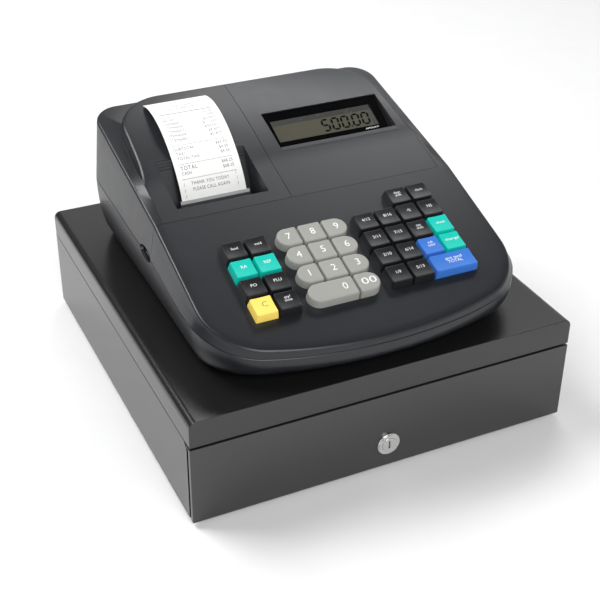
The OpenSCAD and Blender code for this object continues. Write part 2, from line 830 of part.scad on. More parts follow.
// The receipt's curve: a cubic through its slot, up the recess and over the hood
path = [[12.5, 58], [17, 93], [68, 132.5], [106.5, 120.2]];
function bezier(t) =
    let (u = 1 - t)
    u * u * u * path[0] + 3 * u * u * t * path[1] + 3 * u * t * t * path[2] + t * t * t * path[3];
function bezier_dir(t) =
    let (u = 1 - t)
    u * u * (path[1] - path[0]) + 2 * u * t * (path[2] - path[1]) + t * t * (path[3] - path[2]);

module receipt() color("#f4f4f2") {
    half = 0.15;
    side = [for (t = [0:1 / 24:1.001])
        let (p = bezier(t), d = bezier_dir(t) / norm(bezier_dir(t)))
        [p, half * [-d[1], d[0]]]];
    across(paper_x - paper_w / 2, paper_x + paper_w / 2)
        translate([0, head_z])
            polygon(concat(
                [for (s = side) s[0] + s[1]],
                [for (i = [len(side) - 1:-1:0]) side[i][0] - side[i][1]]
            ));
}

module paper_roll() color("#f0efe9")
    difference() {
        rod_x(paper_x - paper_w / 2, paper_x + paper_w / 2, roll_y, head_z + roll_z, roll_r);
        rod_x(paper_x - 40, paper_x + 40, roll_y, head_z + roll_z, spindle_r + fit);
    }

module printer_unit() color("#2a2b2d")
    difference() {
        union() {
            block([printer_x[0], -12, head_z + foot_gap + wall], [printer_x[1], 34, head_z + 38]);
            block([printer_x[0], -12, head_z + 38 - eps], [printer_x[1], 10, head_z + 54]);
            for (x = [printer_x[0], printer_x[1] - 2])
                across(x, x + 2)
                    polygon([[-12, head_z + 5], [34, head_z + 5], [roll_y + 8, head_z + roll_z - 8],
                             [roll_y + 8, head_z + roll_z + 8], [roll_y - 8, head_z + roll_z + 8],
                             [32, head_z + 54], [-12, head_z + 54]]);
            rod_x(printer_x[0] + 1, printer_x[1] - 1, roll_y, head_z + roll_z, spindle_r);
        }
        rod_x(printer_x[0] - 1, printer_x[1] + 1, platen_y, head_z + platen_z, journal_r + fit);
    }

module platen_roller() color("#1a1a1a") {
    rod_x(printer_x[0], printer_x[1], platen_y, head_z + platen_z, journal_r);
    rod_x(printer_x[0] + 3, printer_x[1] - 3, platen_y, head_z + platen_z, platen_r);
}

module main_board() color("#2c6b3f")
    on_deck()
        block([-98, -117, board_n - 1.6], [98, -15, board_n]);

cabinet_body();
cabinet_cover();
rubber_feet();
drawer_tray();
drawer_front();
till_insert();
bill_clip(0);  // bill_clip_1
bill_clip(1);  // bill_clip_2
bill_clip(2);  // bill_clip_3
bill_clip(3);  // bill_clip_4
lock_barrel();
lock_plug();
drawer_latch();
head_base();
upper_case();
printer_cover();
display_window();
display_lcd();
tear_bar();
receipt();
paper_roll();
printer_unit();
platen_roller();
main_board();
for (k = KEYS)
    key(k);
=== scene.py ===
import json
import math

import bmesh
import bpy
from mathutils import Matrix, Vector


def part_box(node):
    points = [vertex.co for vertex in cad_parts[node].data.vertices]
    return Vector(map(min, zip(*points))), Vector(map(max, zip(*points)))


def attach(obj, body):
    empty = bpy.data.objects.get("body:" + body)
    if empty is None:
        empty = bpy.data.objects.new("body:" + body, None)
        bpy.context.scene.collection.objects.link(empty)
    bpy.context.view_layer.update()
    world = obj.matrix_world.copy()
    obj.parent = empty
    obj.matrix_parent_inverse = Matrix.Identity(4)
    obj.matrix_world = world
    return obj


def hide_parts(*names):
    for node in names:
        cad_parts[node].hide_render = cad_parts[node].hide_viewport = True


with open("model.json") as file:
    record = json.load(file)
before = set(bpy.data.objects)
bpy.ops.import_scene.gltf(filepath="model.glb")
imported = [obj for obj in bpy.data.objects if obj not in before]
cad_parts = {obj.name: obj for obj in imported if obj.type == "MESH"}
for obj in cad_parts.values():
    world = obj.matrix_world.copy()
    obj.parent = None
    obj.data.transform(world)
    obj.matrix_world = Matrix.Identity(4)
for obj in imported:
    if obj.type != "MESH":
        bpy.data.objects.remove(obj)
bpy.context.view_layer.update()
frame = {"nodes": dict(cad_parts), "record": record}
scene = bpy.context.scene
MM = 0.001

# ------------------------------------------------------------------ camera

AZIMUTH, ELEVATION, ROLL = (math.radians(v) for v in (-25.565, 32.175, 0.618))
CAMERA_PLACE = (-0.3899, -0.8265, 0.6339)
LENS = 73.2


def add_camera():
    back = Vector((math.sin(AZIMUTH) * math.cos(ELEVATION),
                   -math.cos(AZIMUTH) * math.cos(ELEVATION), math.sin(ELEVATION)))
    right = Vector((0, 0, 1)).cross(back).normalized()
    up = back.cross(right)
    x = math.cos(ROLL) * right + math.sin(ROLL) * up
    y = -math.sin(ROLL) * right + math.cos(ROLL) * up
    data = bpy.data.cameras.new("studio_camera")
    data.lens = LENS
    data.sensor_width = 36.0
    camera = bpy.data.objects.new("studio_camera", data)
    scene.collection.objects.link(camera)
    turn = Matrix((x, y, back)).transposed().to_4x4()
    camera.matrix_world = Matrix.Translation(CAMERA_PLACE) @ turn
    scene.camera = camera


add_camera()

# ------------------------------------------------------------------ materials


def srgb(r, g, b):
    """A display colour from 0 to 255 as linear light."""
    def one(v):
        v /= 255
        return v / 12.92 if v <= 0.04045 else ((v + 0.055) / 1.055) ** 2.4
    return (one(r), one(g), one(b), 1)


def preset(node, values):
    for socket, value in values.items():
        node.inputs[socket].default_value = value


def finish(name, colour, rough, grain=0.6, depth=0.02, drift=0.12, spread=0.05, specular=0.5,
           metal=0.0, veins=0.0):
    """A procedural finish. grain is the size of the surface texture and depth its height, in mm.
    drift is how much the colour varies over the piece, and spread how much the roughness does.
    veins is the spacing of rolled lines in mm, or 0 for none."""
    mat = bpy.data.materials.new(name)
    mat.use_nodes = True
    nodes, links = mat.node_tree.nodes, mat.node_tree.links
    shader = nodes["Principled BSDF"]
    preset(shader, {"Metallic": metal, "Specular IOR Level": specular})
    place = nodes.new("ShaderNodeTexCoord")

    def noise(size_mm, detail, rough_part=0.5):
        n = nodes.new("ShaderNodeTexNoise")
        preset(n, {"Scale": 1000.0 / size_mm, "Detail": detail, "Roughness": rough_part})
        links.new(place.outputs["Object"], n.inputs["Vector"])
        return n

    # The colour drifts over broad clouds with a finer speckle
    broad = noise(38.0, 3)
    fine = noise(max(grain * 3.0, 1.5), 2)
    blend = nodes.new("ShaderNodeMix")
    blend.data_type = "RGBA"
    blend.inputs["A"].default_value = tuple(c * (1 - drift) for c in colour[:3]) + (1,)
    blend.inputs["B"].default_value = tuple(min(1.0, c * (1 + drift)) for c in colour[:3]) + (1,)
    both = nodes.new("ShaderNodeMath")
    both.operation = "MULTIPLY_ADD"
    both.inputs[1].default_value = 0.35
    links.new(fine.outputs["Fac"], both.inputs[0])
    share = nodes.new("ShaderNodeMapRange")
    preset(share, {"From Min": 0.3, "From Max": 0.7, "To Max": 0.65})
    links.new(broad.outputs["Fac"], share.inputs["Value"])
    links.new(share.outputs["Result"], both.inputs[2])
    links.new(both.outputs["Value"], blend.inputs["Factor"])
    links.new(blend.outputs["Result"], shader.inputs["Base Color"])

    patch = noise(11.0, 4, 0.6)
    gloss = nodes.new("ShaderNodeMapRange")
    preset(gloss, {"From Min": 0.3, "From Max": 0.7,
                   "To Min": max(0.02, rough - spread), "To Max": min(1.0, rough + spread)})
    links.new(patch.outputs["Fac"], gloss.inputs["Value"])
    links.new(gloss.outputs["Result"], shader.inputs["Roughness"])

    texture = noise(grain, 2)
    bump = nodes.new("ShaderNodeBump")
    preset(bump, {"Strength": 1.0, "Distance": depth * MM})
    links.new(texture.outputs["Fac"], bump.inputs["Height"])
    if veins:
        wave = nodes.new("ShaderNodeTexWave")
        preset(wave, {"Scale": 1000.0 / veins, "Distortion": 0.6, "Detail": 1.0})
        links.new(place.outputs["Object"], wave.inputs["Vector"])
        ridges = nodes.new("ShaderNodeBump")
        preset(ridges, {"Strength": 1.0, "Distance": depth * MM})
        links.new(wave.outputs["Fac"], ridges.inputs["Height"])
        links.new(ridges.outputs["Normal"], bump.inputs["Normal"])
    links.new(bump.outputs["Normal"], shader.inputs["Normal"])
    return mat


FINISHES = {
    "cabinet_paint": (srgb(25, 25, 26), 0.26, 0.7, 0.0005, 0.03, 0.006, 0.72),
    "bare_steel": ((0.50, 0.51, 0.52, 1), 0.36, 0.8, 0.006, 0.08, 0.08, 0.5, 1.0, 0.5),
    "foot_rubber": (srgb(24, 24, 24), 0.75, 0.7, 0.03, 0.15, 0.05, 0.3),
    "till_plastic": (srgb(44, 45, 47), 0.48, 0.6, 0.02, 0.10, 0.06),
    "clip_plastic": (srgb(70, 72, 75), 0.42, 0.6, 0.012, 0.10, 0.06),
    "lock_chrome": ((0.72, 0.72, 0.70, 1), 0.20, 0.5, 0.003, 0.05, 0.06, 0.5, 1.0),
    "case_plastic": (srgb(30, 32, 36), 0.34, 0.42, 0.010, 0.05, 0.02, 0.46),
    "window_plastic": (srgb(5, 5, 6), 0.12, 3.0, 0.001, 0.10, 0.02, 0.2),
    "lcd_glass": (srgb(74, 72, 60), 0.32, 2.0, 0.0005, 0.01, 0.01, 0.25),
    "tear_plastic": (srgb(172, 174, 174), 0.25, 0.8, 0.004, 0.06, 0.05),
    "paper": (srgb(252, 252, 250), 0.62, 0.35, 0.006, 0.02, 0.06, 0.3),
    "mechanism_plastic": (srgb(52, 53, 56), 0.50, 0.6, 0.015, 0.10, 0.06),
    "platen_rubber": (srgb(26, 26, 27), 0.70, 0.5, 0.02, 0.12, 0.06, 0.3),
    "circuit_board": (srgb(32, 92, 54), 0.38, 1.6, 0.02, 0.15, 0.06),
    "key_black": (srgb(25, 26, 29), 0.34, 0.4, 0.008, 0.08, 0.05, 0.4),
    "key_teal": (srgb(0, 192, 176), 0.45, 0.4, 0.008, 0.04, 0.05, 0.35),
    "key_yellow": (srgb(255, 222, 106), 0.42, 0.4, 0.008, 0.04, 0.05, 0.35),
    "key_blue": (srgb(56, 116, 204), 0.42, 0.4, 0.008, 0.05, 0.05, 0.35),
    "key_grey": (srgb(155, 155, 150), 0.42, 0.4, 0.008, 0.03, 0.05, 0.35),
}
LOOKS = {look: finish(look, *values) for look, values in FINISHES.items()}
WHITE_INK = finish("white_ink", srgb(236, 238, 236), 0.45, 0.5, 0.004, 0.03, 0.05)
GREY_INK = finish("grey_ink", srgb(120, 118, 104), 0.45, 0.5, 0.004, 0.05, 0.05)
PRINT_INK = finish("print_ink", srgb(72, 74, 80), 0.70, 0.4, 0.003, 0.12, 0.05, 0.2)
LCD_INK = finish("lcd_ink", srgb(6, 7, 6), 0.60, 0.5, 0.002, 0.05, 0.05, 0.05)
GROOVE = finish("groove_shade", srgb(14, 14, 16), 0.80, 0.8, 0.001, 0.05, 0.05, 0.1)
GLASS_EDGE = finish("glass_edge", srgb(70, 71, 68), 0.25, 0.8, 0.003, 0.06, 0.05, 0.5)

# ------------------------------------------------------------------ mesh tools

# Turns a profile's plane: its x, y and extrusion to the object's y, z, x and to x, z, -y
TO_X = Matrix(((0, 0, 1, 0), (1, 0, 0, 0), (0, 1, 0, 0), (0, 0, 0, 1)))
TO_Y = Matrix(((1, 0, 0, 0), (0, 0, -1, 0), (0, 1, 0, 0), (0, 0, 0, 1)))


def blank(name):
    obj = bpy.data.objects.new(name, bpy.data.meshes.new(name))
    scene.collection.objects.link(obj)
    return obj


def from_bmesh(name, bm, angle=28):
    bmesh.ops.recalc_face_normals(bm, faces=bm.faces)
    obj = blank(name)
    bm.to_mesh(obj.data)
    bm.free()
    shade(obj, angle)
    return obj


def shade(obj, angle=28):
    for p in obj.data.polygons:
        p.use_smooth = True
    obj.data.set_sharp_from_angle(angle=math.radians(angle))


def apply_modifiers(obj):
    bpy.context.view_layer.update()
    shown = obj.evaluated_get(bpy.context.evaluated_depsgraph_get())
    mesh = bpy.data.meshes.new_from_object(shown)
    old = obj.data
    obj.modifiers.clear()
    obj.data = mesh
    bpy.data.meshes.remove(old)
    mesh.name = obj.name


def cut(obj, tool, operation="DIFFERENCE"):
    modifier = obj.modifiers.new("cut", "BOOLEAN")
    modifier.solver = "EXACT"
    modifier.operation = operation
    modifier.object = tool
    apply_modifiers(obj)
    data = tool.data
    bpy.data.objects.remove(tool)
    bpy.data.meshes.remove(data)


def soften(obj, width, segments=2):
    """Rounds the sharp edges, width mm wide."""
    bm = bmesh.new()
    bm.from_mesh(obj.data)
    bmesh.ops.remove_doubles(bm, verts=bm.verts, dist=2e-6)
    bmesh.ops.dissolve_limit(bm, angle_limit=math.radians(0.6), verts=bm.verts, edges=bm.edges)
    bm.to_mesh(obj.data)
    bm.free()
    bevel = obj.modifiers.new("soften", "BEVEL")
    bevel.width = width * MM
    bevel.segments = segments
    bevel.limit_method = "ANGLE"
    bevel.angle_limit = math.radians(32)
    bevel.miter_outer = "MITER_ARC"
    bevel.use_clamp_overlap = True
    apply_modifiers(obj)
    for p in obj.data.polygons:
        p.use_smooth = True
    obj.data.set_sharp_from_angle(angle=math.radians(50))
    weighted = obj.modifiers.new("weigh", "WEIGHTED_NORMAL")
    weighted.keep_sharp = True
    apply_modifiers(obj)


def settle(obj, look, body, stands_for=()):
    """Gives a piece its finish and its body."""
    obj.data.materials.clear()
    obj.data.materials.append(LOOKS[look] if isinstance(look, str) else look)
    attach(obj, body)
    if stands_for:
        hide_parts(*stands_for)
    return obj


BODY_OF = {node: body for body, nodes in frame["record"]["behaviour"]["bodies"].items()
           for node in nodes}


def softened(node, look, width):
    """A CAD node's shape with its edges rounded, standing for that node."""
    obj = blank(node + "_skin")
    old = obj.data
    obj.data = frame["nodes"][node].data.copy()
    bpy.data.meshes.remove(old)
    obj.data.name = obj.name
    for name in [a.name for a in obj.data.attributes if a.name == "custom_normal"]:
        obj.data.attributes.remove(obj.data.attributes[name])
    soften(obj, width)
    return settle(obj, look, BODY_OF[node], [node])


def loft(name, rings):
    """A closed skin through rings of equally many points, in mm, anticlockwise from above."""
    bm = bmesh.new()
    rows = [[bm.verts.new(Vector(p) * MM) for p in ring] for ring in rings]
    n = len(rows[0])
    for low, high in zip(rows, rows[1:]):
        for i in range(n):
            j = (i + 1) % n
            bm.faces.new((low[i], low[j], high[j], high[i]))
    bm.faces.new(list(reversed(rows[0])))
    bm.faces.new(rows[-1])
    return from_bmesh(name, bm)


def prism(name, outline, low, high, turn=None):
    """A flat outline (x, y) in mm, from low to high along its own Z."""
    obj = loft(name, [[(x, y, z) for x, y in outline] for z in (low, high)])
    if turn is not None:
        obj.data.transform(turn)
    return obj


def box_tool(a, b, turn=None):
    outline = [(a[0], a[1]), (b[0], a[1]), (b[0], b[1]), (a[0], b[1])]
    return prism("tool", outline, a[2], b[2], turn)


def merge(objs):
    """Joins meshes that don't touch each other into the first of them."""
    bm = bmesh.new()
    for o in objs:
        bm.from_mesh(o.data)
    bm.to_mesh(objs[0].data)
    bm.free()
    for o in objs[1:]:
        data = o.data
        bpy.data.objects.remove(o)
        bpy.data.meshes.remove(data)
    return objs[0]


def disc(cx, cy, r, n=40, a0=0, a1=360):
    full = a1 - a0 == 360
    turns = [math.radians(a0 + (a1 - a0) * i / n) for i in range(n if full else n + 1)]
    return [(cx + r * math.cos(a), cy + r * math.sin(a)) for a in turns]


def rounded(x0, y0, x1, y1, r, n=5):
    return (disc(x1 - r, y0 + r, r, n, -90, 0) + disc(x1 - r, y1 - r, r, n, 0, 90)
            + disc(x0 + r, y1 - r, r, n, 90, 180) + disc(x0 + r, y0 + r, r, n, 180, 270))


def lettering(text, height, centre, turn, lift=0.03, thick=0.09, spacing=1.0, bend=None,
              fit_width=None):
    """Raised print as a mesh: height in mm, centre (x, y) in the frame of turn. bend gives the
    surface's height at (x, y)."""
    curve = bpy.data.curves.new("print", "FONT")
    curve.body = text
    curve.align_x = "CENTER"
    curve.align_y = "CENTER"
    curve.size = height * MM / 0.72
    curve.extrude = thick * MM / 2
    curve.resolution_u = 3
    curve.space_character = spacing
    curve.space_line = 0.86
    holder = bpy.data.objects.new("print", curve)
    scene.collection.objects.link(holder)
    bpy.context.view_layer.update()
    shown = holder.evaluated_get(bpy.context.evaluated_depsgraph_get())
    mesh = bpy.data.meshes.new_from_object(shown)
    bpy.data.objects.remove(holder)
    bpy.data.curves.remove(curve)
    xs = [v.co.x for v in mesh.vertices]
    ys = [v.co.y for v in mesh.vertices]
    mid = Vector(((min(xs) + max(xs)) / 2, (min(ys) + max(ys)) / 2, 0))
    scale = 1.0
    if fit_width:
        scale = fit_width * MM / (max(xs) - min(xs))
    for v in mesh.vertices:
        x = (v.co.x - mid.x) * scale + centre[0] * MM
        y = v.co.y - mid.y + centre[1] * MM
        z = v.co.z + (lift - thick / 2) * MM
        if bend:
            z += bend(x / MM, y / MM) * MM
        v.co = Vector((x, y, z))
    if turn is not None:
        mesh.transform(turn)
    return mesh


def mesh_piece(name, mesh):
    obj = bpy.data.objects.new(name, mesh)
    mesh.name = name
    scene.collection.objects.link(obj)
    for p in mesh.polygons:
        p.use_smooth = False
    return obj


def join_meshes(name, meshes):
    bm = bmesh.new()
    for m in meshes:
        bm.from_mesh(m)
    for m in meshes:
        bpy.data.meshes.remove(m)
    mesh = bpy.data.meshes.new(name)
    bm.to_mesh(mesh)
    bm.free()
    return mesh_piece(name, mesh)


# ------------------------------------------------------------------ the head's form

HEAD_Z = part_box("cabinet_cover")[1].z / MM
RIM_W, RIM_BACK, RIM_FRONT = 267.0, 133.6, -173.5
FRONT_R, BOW_R, BACK_R = 52.0, 361.0, 22.0
FLARE, BASE_INSET, WALL, GAP = 4.5, 8.5, 2.5, 0.4
DECK_Y, DECK_TOP, DECK_SLOPE = -25.0, 78.0, math.radians(18)
RIM_SLOPE = math.radians(12.6)
STRIP = 8.8
HOOD_HALF, HOOD_BACK_HALF, HOOD_BACK_Y, HOOD_R = 124.7, 121.3, 123.0, 45.0
FOLD_Y, FOLD_Z = 20.0, 92.3
# Run and rise from the fold to the hood's break, and its rise to the back
BREAK_RUN, BREAK_RISE, BACK_RISE = 54.0, 18.2, 30.0
HOOD_SLOPE = math.atan2(BREAK_RISE, BREAK_RUN)
# The display's opening: x0, s0, x1, s1 up the hood's slope. Its window's depth and tilt
WINDOW = (0.0, 8.5, 111.5, 54.5)
WINDOW_DEPTH, WINDOW_TILT = 1.2, math.radians(5.4)
SPLIT_X = -14.4
POSTS = ((112, -95), (-112, -95), (112, 100), (0, 112))
TURN = math.asin((RIM_W / 2 - FRONT_R) / (BOW_R - FRONT_R))
FRONT_Y = RIM_FRONT + BOW_R - (BOW_R - FRONT_R) * math.cos(TURN)
SIDE_RIM = [-92, -75, -50, -28, -25, -12, 0, 12, 20, 26, 32, 38, 44, 50, 58, 66, 74, 86, 98]
SIDE_HOOD = [-92, -75, -50, -28, -25, -12, 0, 12, 20, 26, 32, 38, 44, 50, 57, 63, 68, 72, 75]


def rim_height(y):
    return DECK_TOP + (y - DECK_Y) * math.tan(DECK_SLOPE if y < DECK_Y else RIM_SLOPE)


# The parting line: place from front to back, and height above the cabinet
SEAM = [(-176, 24.4), (-166, 25.3), (-157, 27.4), (-148, 30), (-134, 34.4), (-121, 37),
        (-110, 37.4), (-90, 37.8), (-75, 40), (-28, 48), (160, 58)]


def seam_height(y):
    y = min(max(y, SEAM[0][0]), SEAM[-1][0])
    for (y0, z0), (y1, z1) in zip(SEAM, SEAM[1:]):
        if y <= y1:
            return z0 + (z1 - z0) * (y - y0) / (y1 - y0)
    return SEAM[-1][1]


def seam_at(y):
    """The parting line's height at a point of the outline, once it has moved back."""
    return seam_height(y + pull(y))


def panel_height(y):
    return DECK_TOP + (y - DECK_Y) * (FOLD_Z - DECK_TOP) / (FOLD_Y - DECK_Y)


def hood_height(y):
    """The hood's profile: the panel up to the fold, then one long convex curve."""
    if y < DECK_Y:
        return rim_height(y)
    if y <= FOLD_Y:
        return panel_height(y)
    # A parabola through the fold, the display's upper edge and the back
    t = y - FOLD_Y
    y1, z1, y2, z2 = BREAK_RUN, BREAK_RISE, HOOD_BACK_Y - FOLD_Y, BACK_RISE
    b = (z1 / y1 - z2 / y2) / (y2 - y1)
    a = z1 / y1 + b * y1
    return FOLD_Z + a * t - b * t * t


def ease(a, b, v):
    t = min(1.0, max(0.0, (v - a) / (b - a)))
    return t * t * (3 - 2 * t)


def foot_height(y):
    """Where the hood's side meets the rim strip: flush with the panel, then down on the rim."""
    rim = rim_height(y)
    return rim if y < DECK_Y else rim + (panel_height(y) - rim) * (1 - ease(14, 48, y))


def pull(y):
    """The front wall doesn't flare, so its lower rings move back."""
    return min(FLARE, (-105 - y) / 12) if y < -105 else 0.0


def tuck(y):
    """How far the base's front is tucked under the head at its foot."""
    return 20 * ease(-70, -172, y)


def whole(half):
    return half + [(-p[0], p[1]) + tuple(p[2:]) for p in reversed(half[1:-1])]


def half_front(d):
    bow = disc(0, RIM_FRONT + BOW_R, BOW_R + d, 12, 270, 270 + math.degrees(TURN))
    corner = disc(RIM_W / 2 - FRONT_R, FRONT_Y, FRONT_R + d, 16, 270 + math.degrees(TURN), 360)
    return [(0.0, bow[0][1])] + bow[1:] + corner[1:]


def half_rim(d):
    side = [(RIM_W / 2 + d, y) for y in SIDE_RIM]
    arc = disc(RIM_W / 2 - BACK_R, RIM_BACK - BACK_R, BACK_R + d, 14, 0, 90)
    return half_front(d) + side + arc + [(60, RIM_BACK + d), (0.0, RIM_BACK + d)]


def half_hood(d):
    def x_at(y):
        share = max(0, (y - FOLD_Y) / (HOOD_BACK_Y - HOOD_R - FOLD_Y))
        return HOOD_HALF + (HOOD_BACK_HALF - HOOD_HALF) * share
    side = [(x_at(y) + d, y) for y in SIDE_HOOD]
    arc = disc(HOOD_BACK_HALF - HOOD_R, HOOD_BACK_Y - HOOD_R, HOOD_R + d, 14, 0, 90)
    return half_front(d - STRIP) + side + arc + [(60, HOOD_BACK_Y + d), (0.0, HOOD_BACK_Y + d)]


def raised(half, level, move=0.0, under=0.0):
    """A whole ring at level(y). move and under are the shares of its two shifts back."""
    return whole([(x, y + pull(y) * move + tuck(y) * under, HEAD_Z + level(y)) for x, y in half])


def upper_rings(inset):
    """Rings from the parting line over the rim and the hood. inset moves them in by the wall."""
    rings = []
    soft = 2.4 if inset == 0 else 0.8
    top_soft = 4.0 if inset == 0 else 1.5
    lip = 0.35 if inset == 0 else 0.0

    def rim(y):
        return rim_height(y) - inset

    def step(y):
        return max(0.0, hood_height(y) - foot_height(y))

    if lip:
        rings.append(raised(half_rim(FLARE - lip), seam_at, 1))
        rings.append(raised(half_rim(FLARE), lambda y: seam_at(y) + lip, 1))
    else:
        rings.append(raised(half_rim(FLARE - inset), seam_at, 1))
    for t in (0.33, 0.66):
        rings.append(raised(half_rim(FLARE * (1 - t) - inset),
                            lambda y, t=t: seam_at(y) + (rim(y) - soft - seam_at(y)) * t, 1 - t))
    for i in range(6):
        a = math.radians(90 * i / 5)
        rings.append(raised(half_rim(-soft * (1 - math.cos(a)) - inset),
                            lambda y, a=a: rim(y) - soft * (1 - math.sin(a))))
    # The rim strip runs up to the hood's foot, with a small cove
    for d, up in ((0.7, 0.0), (0.2, 0.18), (0.0, 0.6)):
        rings.append(raised(half_hood(d - inset),
                            lambda y, up=up: foot_height(y) - inset + min(up, step(y) * 0.2)))
    for i in range(7):
        a = math.radians(90 * i / 6)
        d = -0.5 - top_soft * (1 - math.cos(a))
        rings.append(raised(half_hood(d - inset), lambda y, a=a: hood_height(y) - inset
                            - min(top_soft, step(y) * 0.55) * (1 - math.sin(a))))
    return rings


def base_rings(inset):
    """Rings from the parting line down under the base, as a quarter ellipse."""
    rings = []
    low = 2.0 + inset
    top = GAP
    if inset == 0:
        rings.append(raised(half_rim(FLARE - 0.35), lambda y: seam_at(y) - top, 1))
    for i in range(13):
        a = math.radians(90 * i / 12)
        t = math.sin(a)
        d = (FLARE + BASE_INSET) * math.cos(a) - BASE_INSET - inset
        drop = 0.35 if inset == 0 and i == 0 else 0.0
        rings.append(raised(half_rim(d), lambda y, t=t, drop=drop:
                            (seam_at(y) - top) * (1 - t) + low * t - drop, 1 - t, 1 - math.cos(a)))
    return rings


def cap_rows(bm, row, flip):
    """Closes a ring, symmetric left to right, with strips across it."""
    n = len(row)
    half = n // 2
    for i in range(half):
        a, b = row[i], row[i + 1]
        c, d = row[(n - i - 1) % n], row[(n - i) % n]
        corners = []
        for v in (a, b, c, d):
            if v not in corners:
                corners.append(v)
        if len(corners) > 2:
            bm.faces.new(corners[::-1] if flip else corners)


def thin_shell(name, outer, inner):
    """A moulding with an outer and an inner skin, open at the first ring of each."""
    bm = bmesh.new()
    out = [[bm.verts.new(Vector(p) * MM) for p in r] for r in outer]
    ins = [[bm.verts.new(Vector(p) * MM) for p in r] for r in inner]
    n = len(out[0])

    def wall(a, b):
        for i in range(n):
            j = (i + 1) % n
            bm.faces.new((a[i], a[j], b[j], b[i]))

    for rows in (out, ins):
        for a, b in zip(rows, rows[1:]):
            wall(a, b)
    wall(ins[0], out[0])
    cap_rows(bm, out[-1], False)
    cap_rows(bm, ins[-1], True)
    return from_bmesh(name, bm, 20)


def on_deck():
    return (Matrix.Translation(Vector((0, DECK_Y, HEAD_Z + DECK_TOP)) * MM)
            @ Matrix.Rotation(DECK_SLOPE, 4, "X"))


def on_hood():
    return (Matrix.Translation(Vector((0, FOLD_Y, HEAD_Z + FOLD_Z)) * MM)
            @ Matrix.Rotation(HOOD_SLOPE, 4, "X"))


def on_display():
    """The display's frame: its Y runs up the window and is 0 at the upper edge."""
    return (on_hood() @ Matrix.Translation((0, WINDOW[3] * MM, -WINDOW_DEPTH * MM))
            @ Matrix.Rotation(WINDOW_TILT, 4, "X"))


def across(outline, x0, x1):
    """A side profile (y, z), extruded along X."""
    obj = prism("tool", outline, x0, x1)
    obj.data.transform(TO_X)
    return obj


def along_y(outline, y0, y1):
    """A front profile (x, z), extruded along Y."""
    obj = prism("tool", outline, -y1, -y0)
    obj.data.transform(TO_Y)
    return obj


# ------------------------------------------------------------------ key blocks


def deck_extent(node):
    """A key's base in the deck's frame: x0, s0, x1, s1, in mm."""
    back = on_deck().inverted()
    points = [back @ v.co for v in frame["nodes"][node].data.vertices]
    base = [p for p in points if abs(p.z / MM + 4) < 0.3 or abs(p.z / MM - 1.5) < 0.3]
    return (min(p.x for p in base) / MM, min(p.y for p in base) / MM,
            max(p.x for p in base) / MM, max(p.y for p in base) / MM)


KEYS = {
    "key_feed": ("black", "feed"), "key_void": ("black", "void"),
    "key_on_account": ("teal", "RA"), "key_refund": ("teal", "REF"),
    "key_paid_out": ("black", "PO"), "key_look_up": ("black", "PLU"),
    "key_clear": ("yellow", "C"), "key_quantity": ("black", "qty/\ntime"),
    "key_digit_7": ("grey", "7"), "key_digit_8": ("grey", "8"), "key_digit_9": ("grey", "9"),
    "key_digit_4": ("grey", "4"), "key_digit_5": ("grey", "5"), "key_digit_6": ("grey", "6"),
    "key_digit_1": ("grey", "1"), "key_digit_2": ("grey", "2"), "key_digit_3": ("grey", "3"),
    "key_digit_0": ("grey", "0"), "key_digit_00": ("grey", "00"),
    "key_department_shift": ("black", "dept\nshift"), "key_clerk": ("black", "clerk"),
    "key_department_4": ("black", "4/12"), "key_department_8": ("black", "8/16"),
    "key_percent": ("black", "-%"), "key_no_sale": ("black", "NS"),
    "key_department_3": ("black", "3/11"), "key_department_7": ("black", "7/15"),
    "key_tax_shift": ("black", "tax\nshift"), "key_check": ("teal", "check"),
    "key_department_2": ("black", "2/10"), "key_department_6": ("black", "6/14"),
    "key_subtotal": ("blue", "sub\ntotal"), "key_charge": ("teal", "charge"),
    "key_department_1": ("black", "1/9"), "key_department_5": ("black", "5/13"),
    "key_total": ("blue", "amt tend\nTOTAL"),
}
EXTENT = {name: deck_extent(name) for name in KEYS}
DIGITS = [name for name in KEYS if name.startswith("key_digit")]
# Heights from the deck: a key's top, the foot of its slope, its skirt and its stem
RISE, SLOPE_FOOT, SKIRT, STEM_FOOT = 7.5, 1.2, -4.0, -12.0


def key_outline(name, inset, corner):
    """A key's section in the deck's frame. The digit block's outer ends are round."""
    x0, s0, x1, s1 = EXTENT[name]
    x0, s0, x1, s1 = x0 + inset, s0 + inset, x1 - inset, s1 - inset
    r = max(0.25, corner)
    right = name in ("key_digit_9", "key_digit_6", "key_digit_3", "key_digit_00")
    left = name in ("key_digit_7", "key_digit_4", "key_digit_1", "key_digit_0")
    hy = (s1 - s0) / 2
    mid = (s0 + s1) / 2
    points = []
    if right:
        points += disc(x1 - hy, mid, hy, 19, -90, 90)
    else:
        points += disc(x1 - r, s0 + r, r, 4, -90, 0) + side_points((x1, s0 + r), (x1, s1 - r)) + \
            disc(x1 - r, s1 - r, r, 4, 0, 90)
    points += side_points((points[-1][0], s1), (x0 + (hy if left else r), s1))
    if left:
        points += disc(x0 + hy, mid, hy, 19, 90, 270)
    else:
        points += disc(x0 + r, s1 - r, r, 4, 90, 180) + side_points((x0, s1 - r), (x0, s0 + r)) + \
            disc(x0 + r, s0 + r, r, 4, 180, 270)
    points += side_points((points[-1][0], s0), (points[0][0], s0))
    return points


def side_points(a, b):
    """Ten points strictly between a and b."""
    return [(a[0] + (b[0] - a[0]) * i / 11, a[1] + (b[1] - a[1]) * i / 11) for i in range(1, 11)]


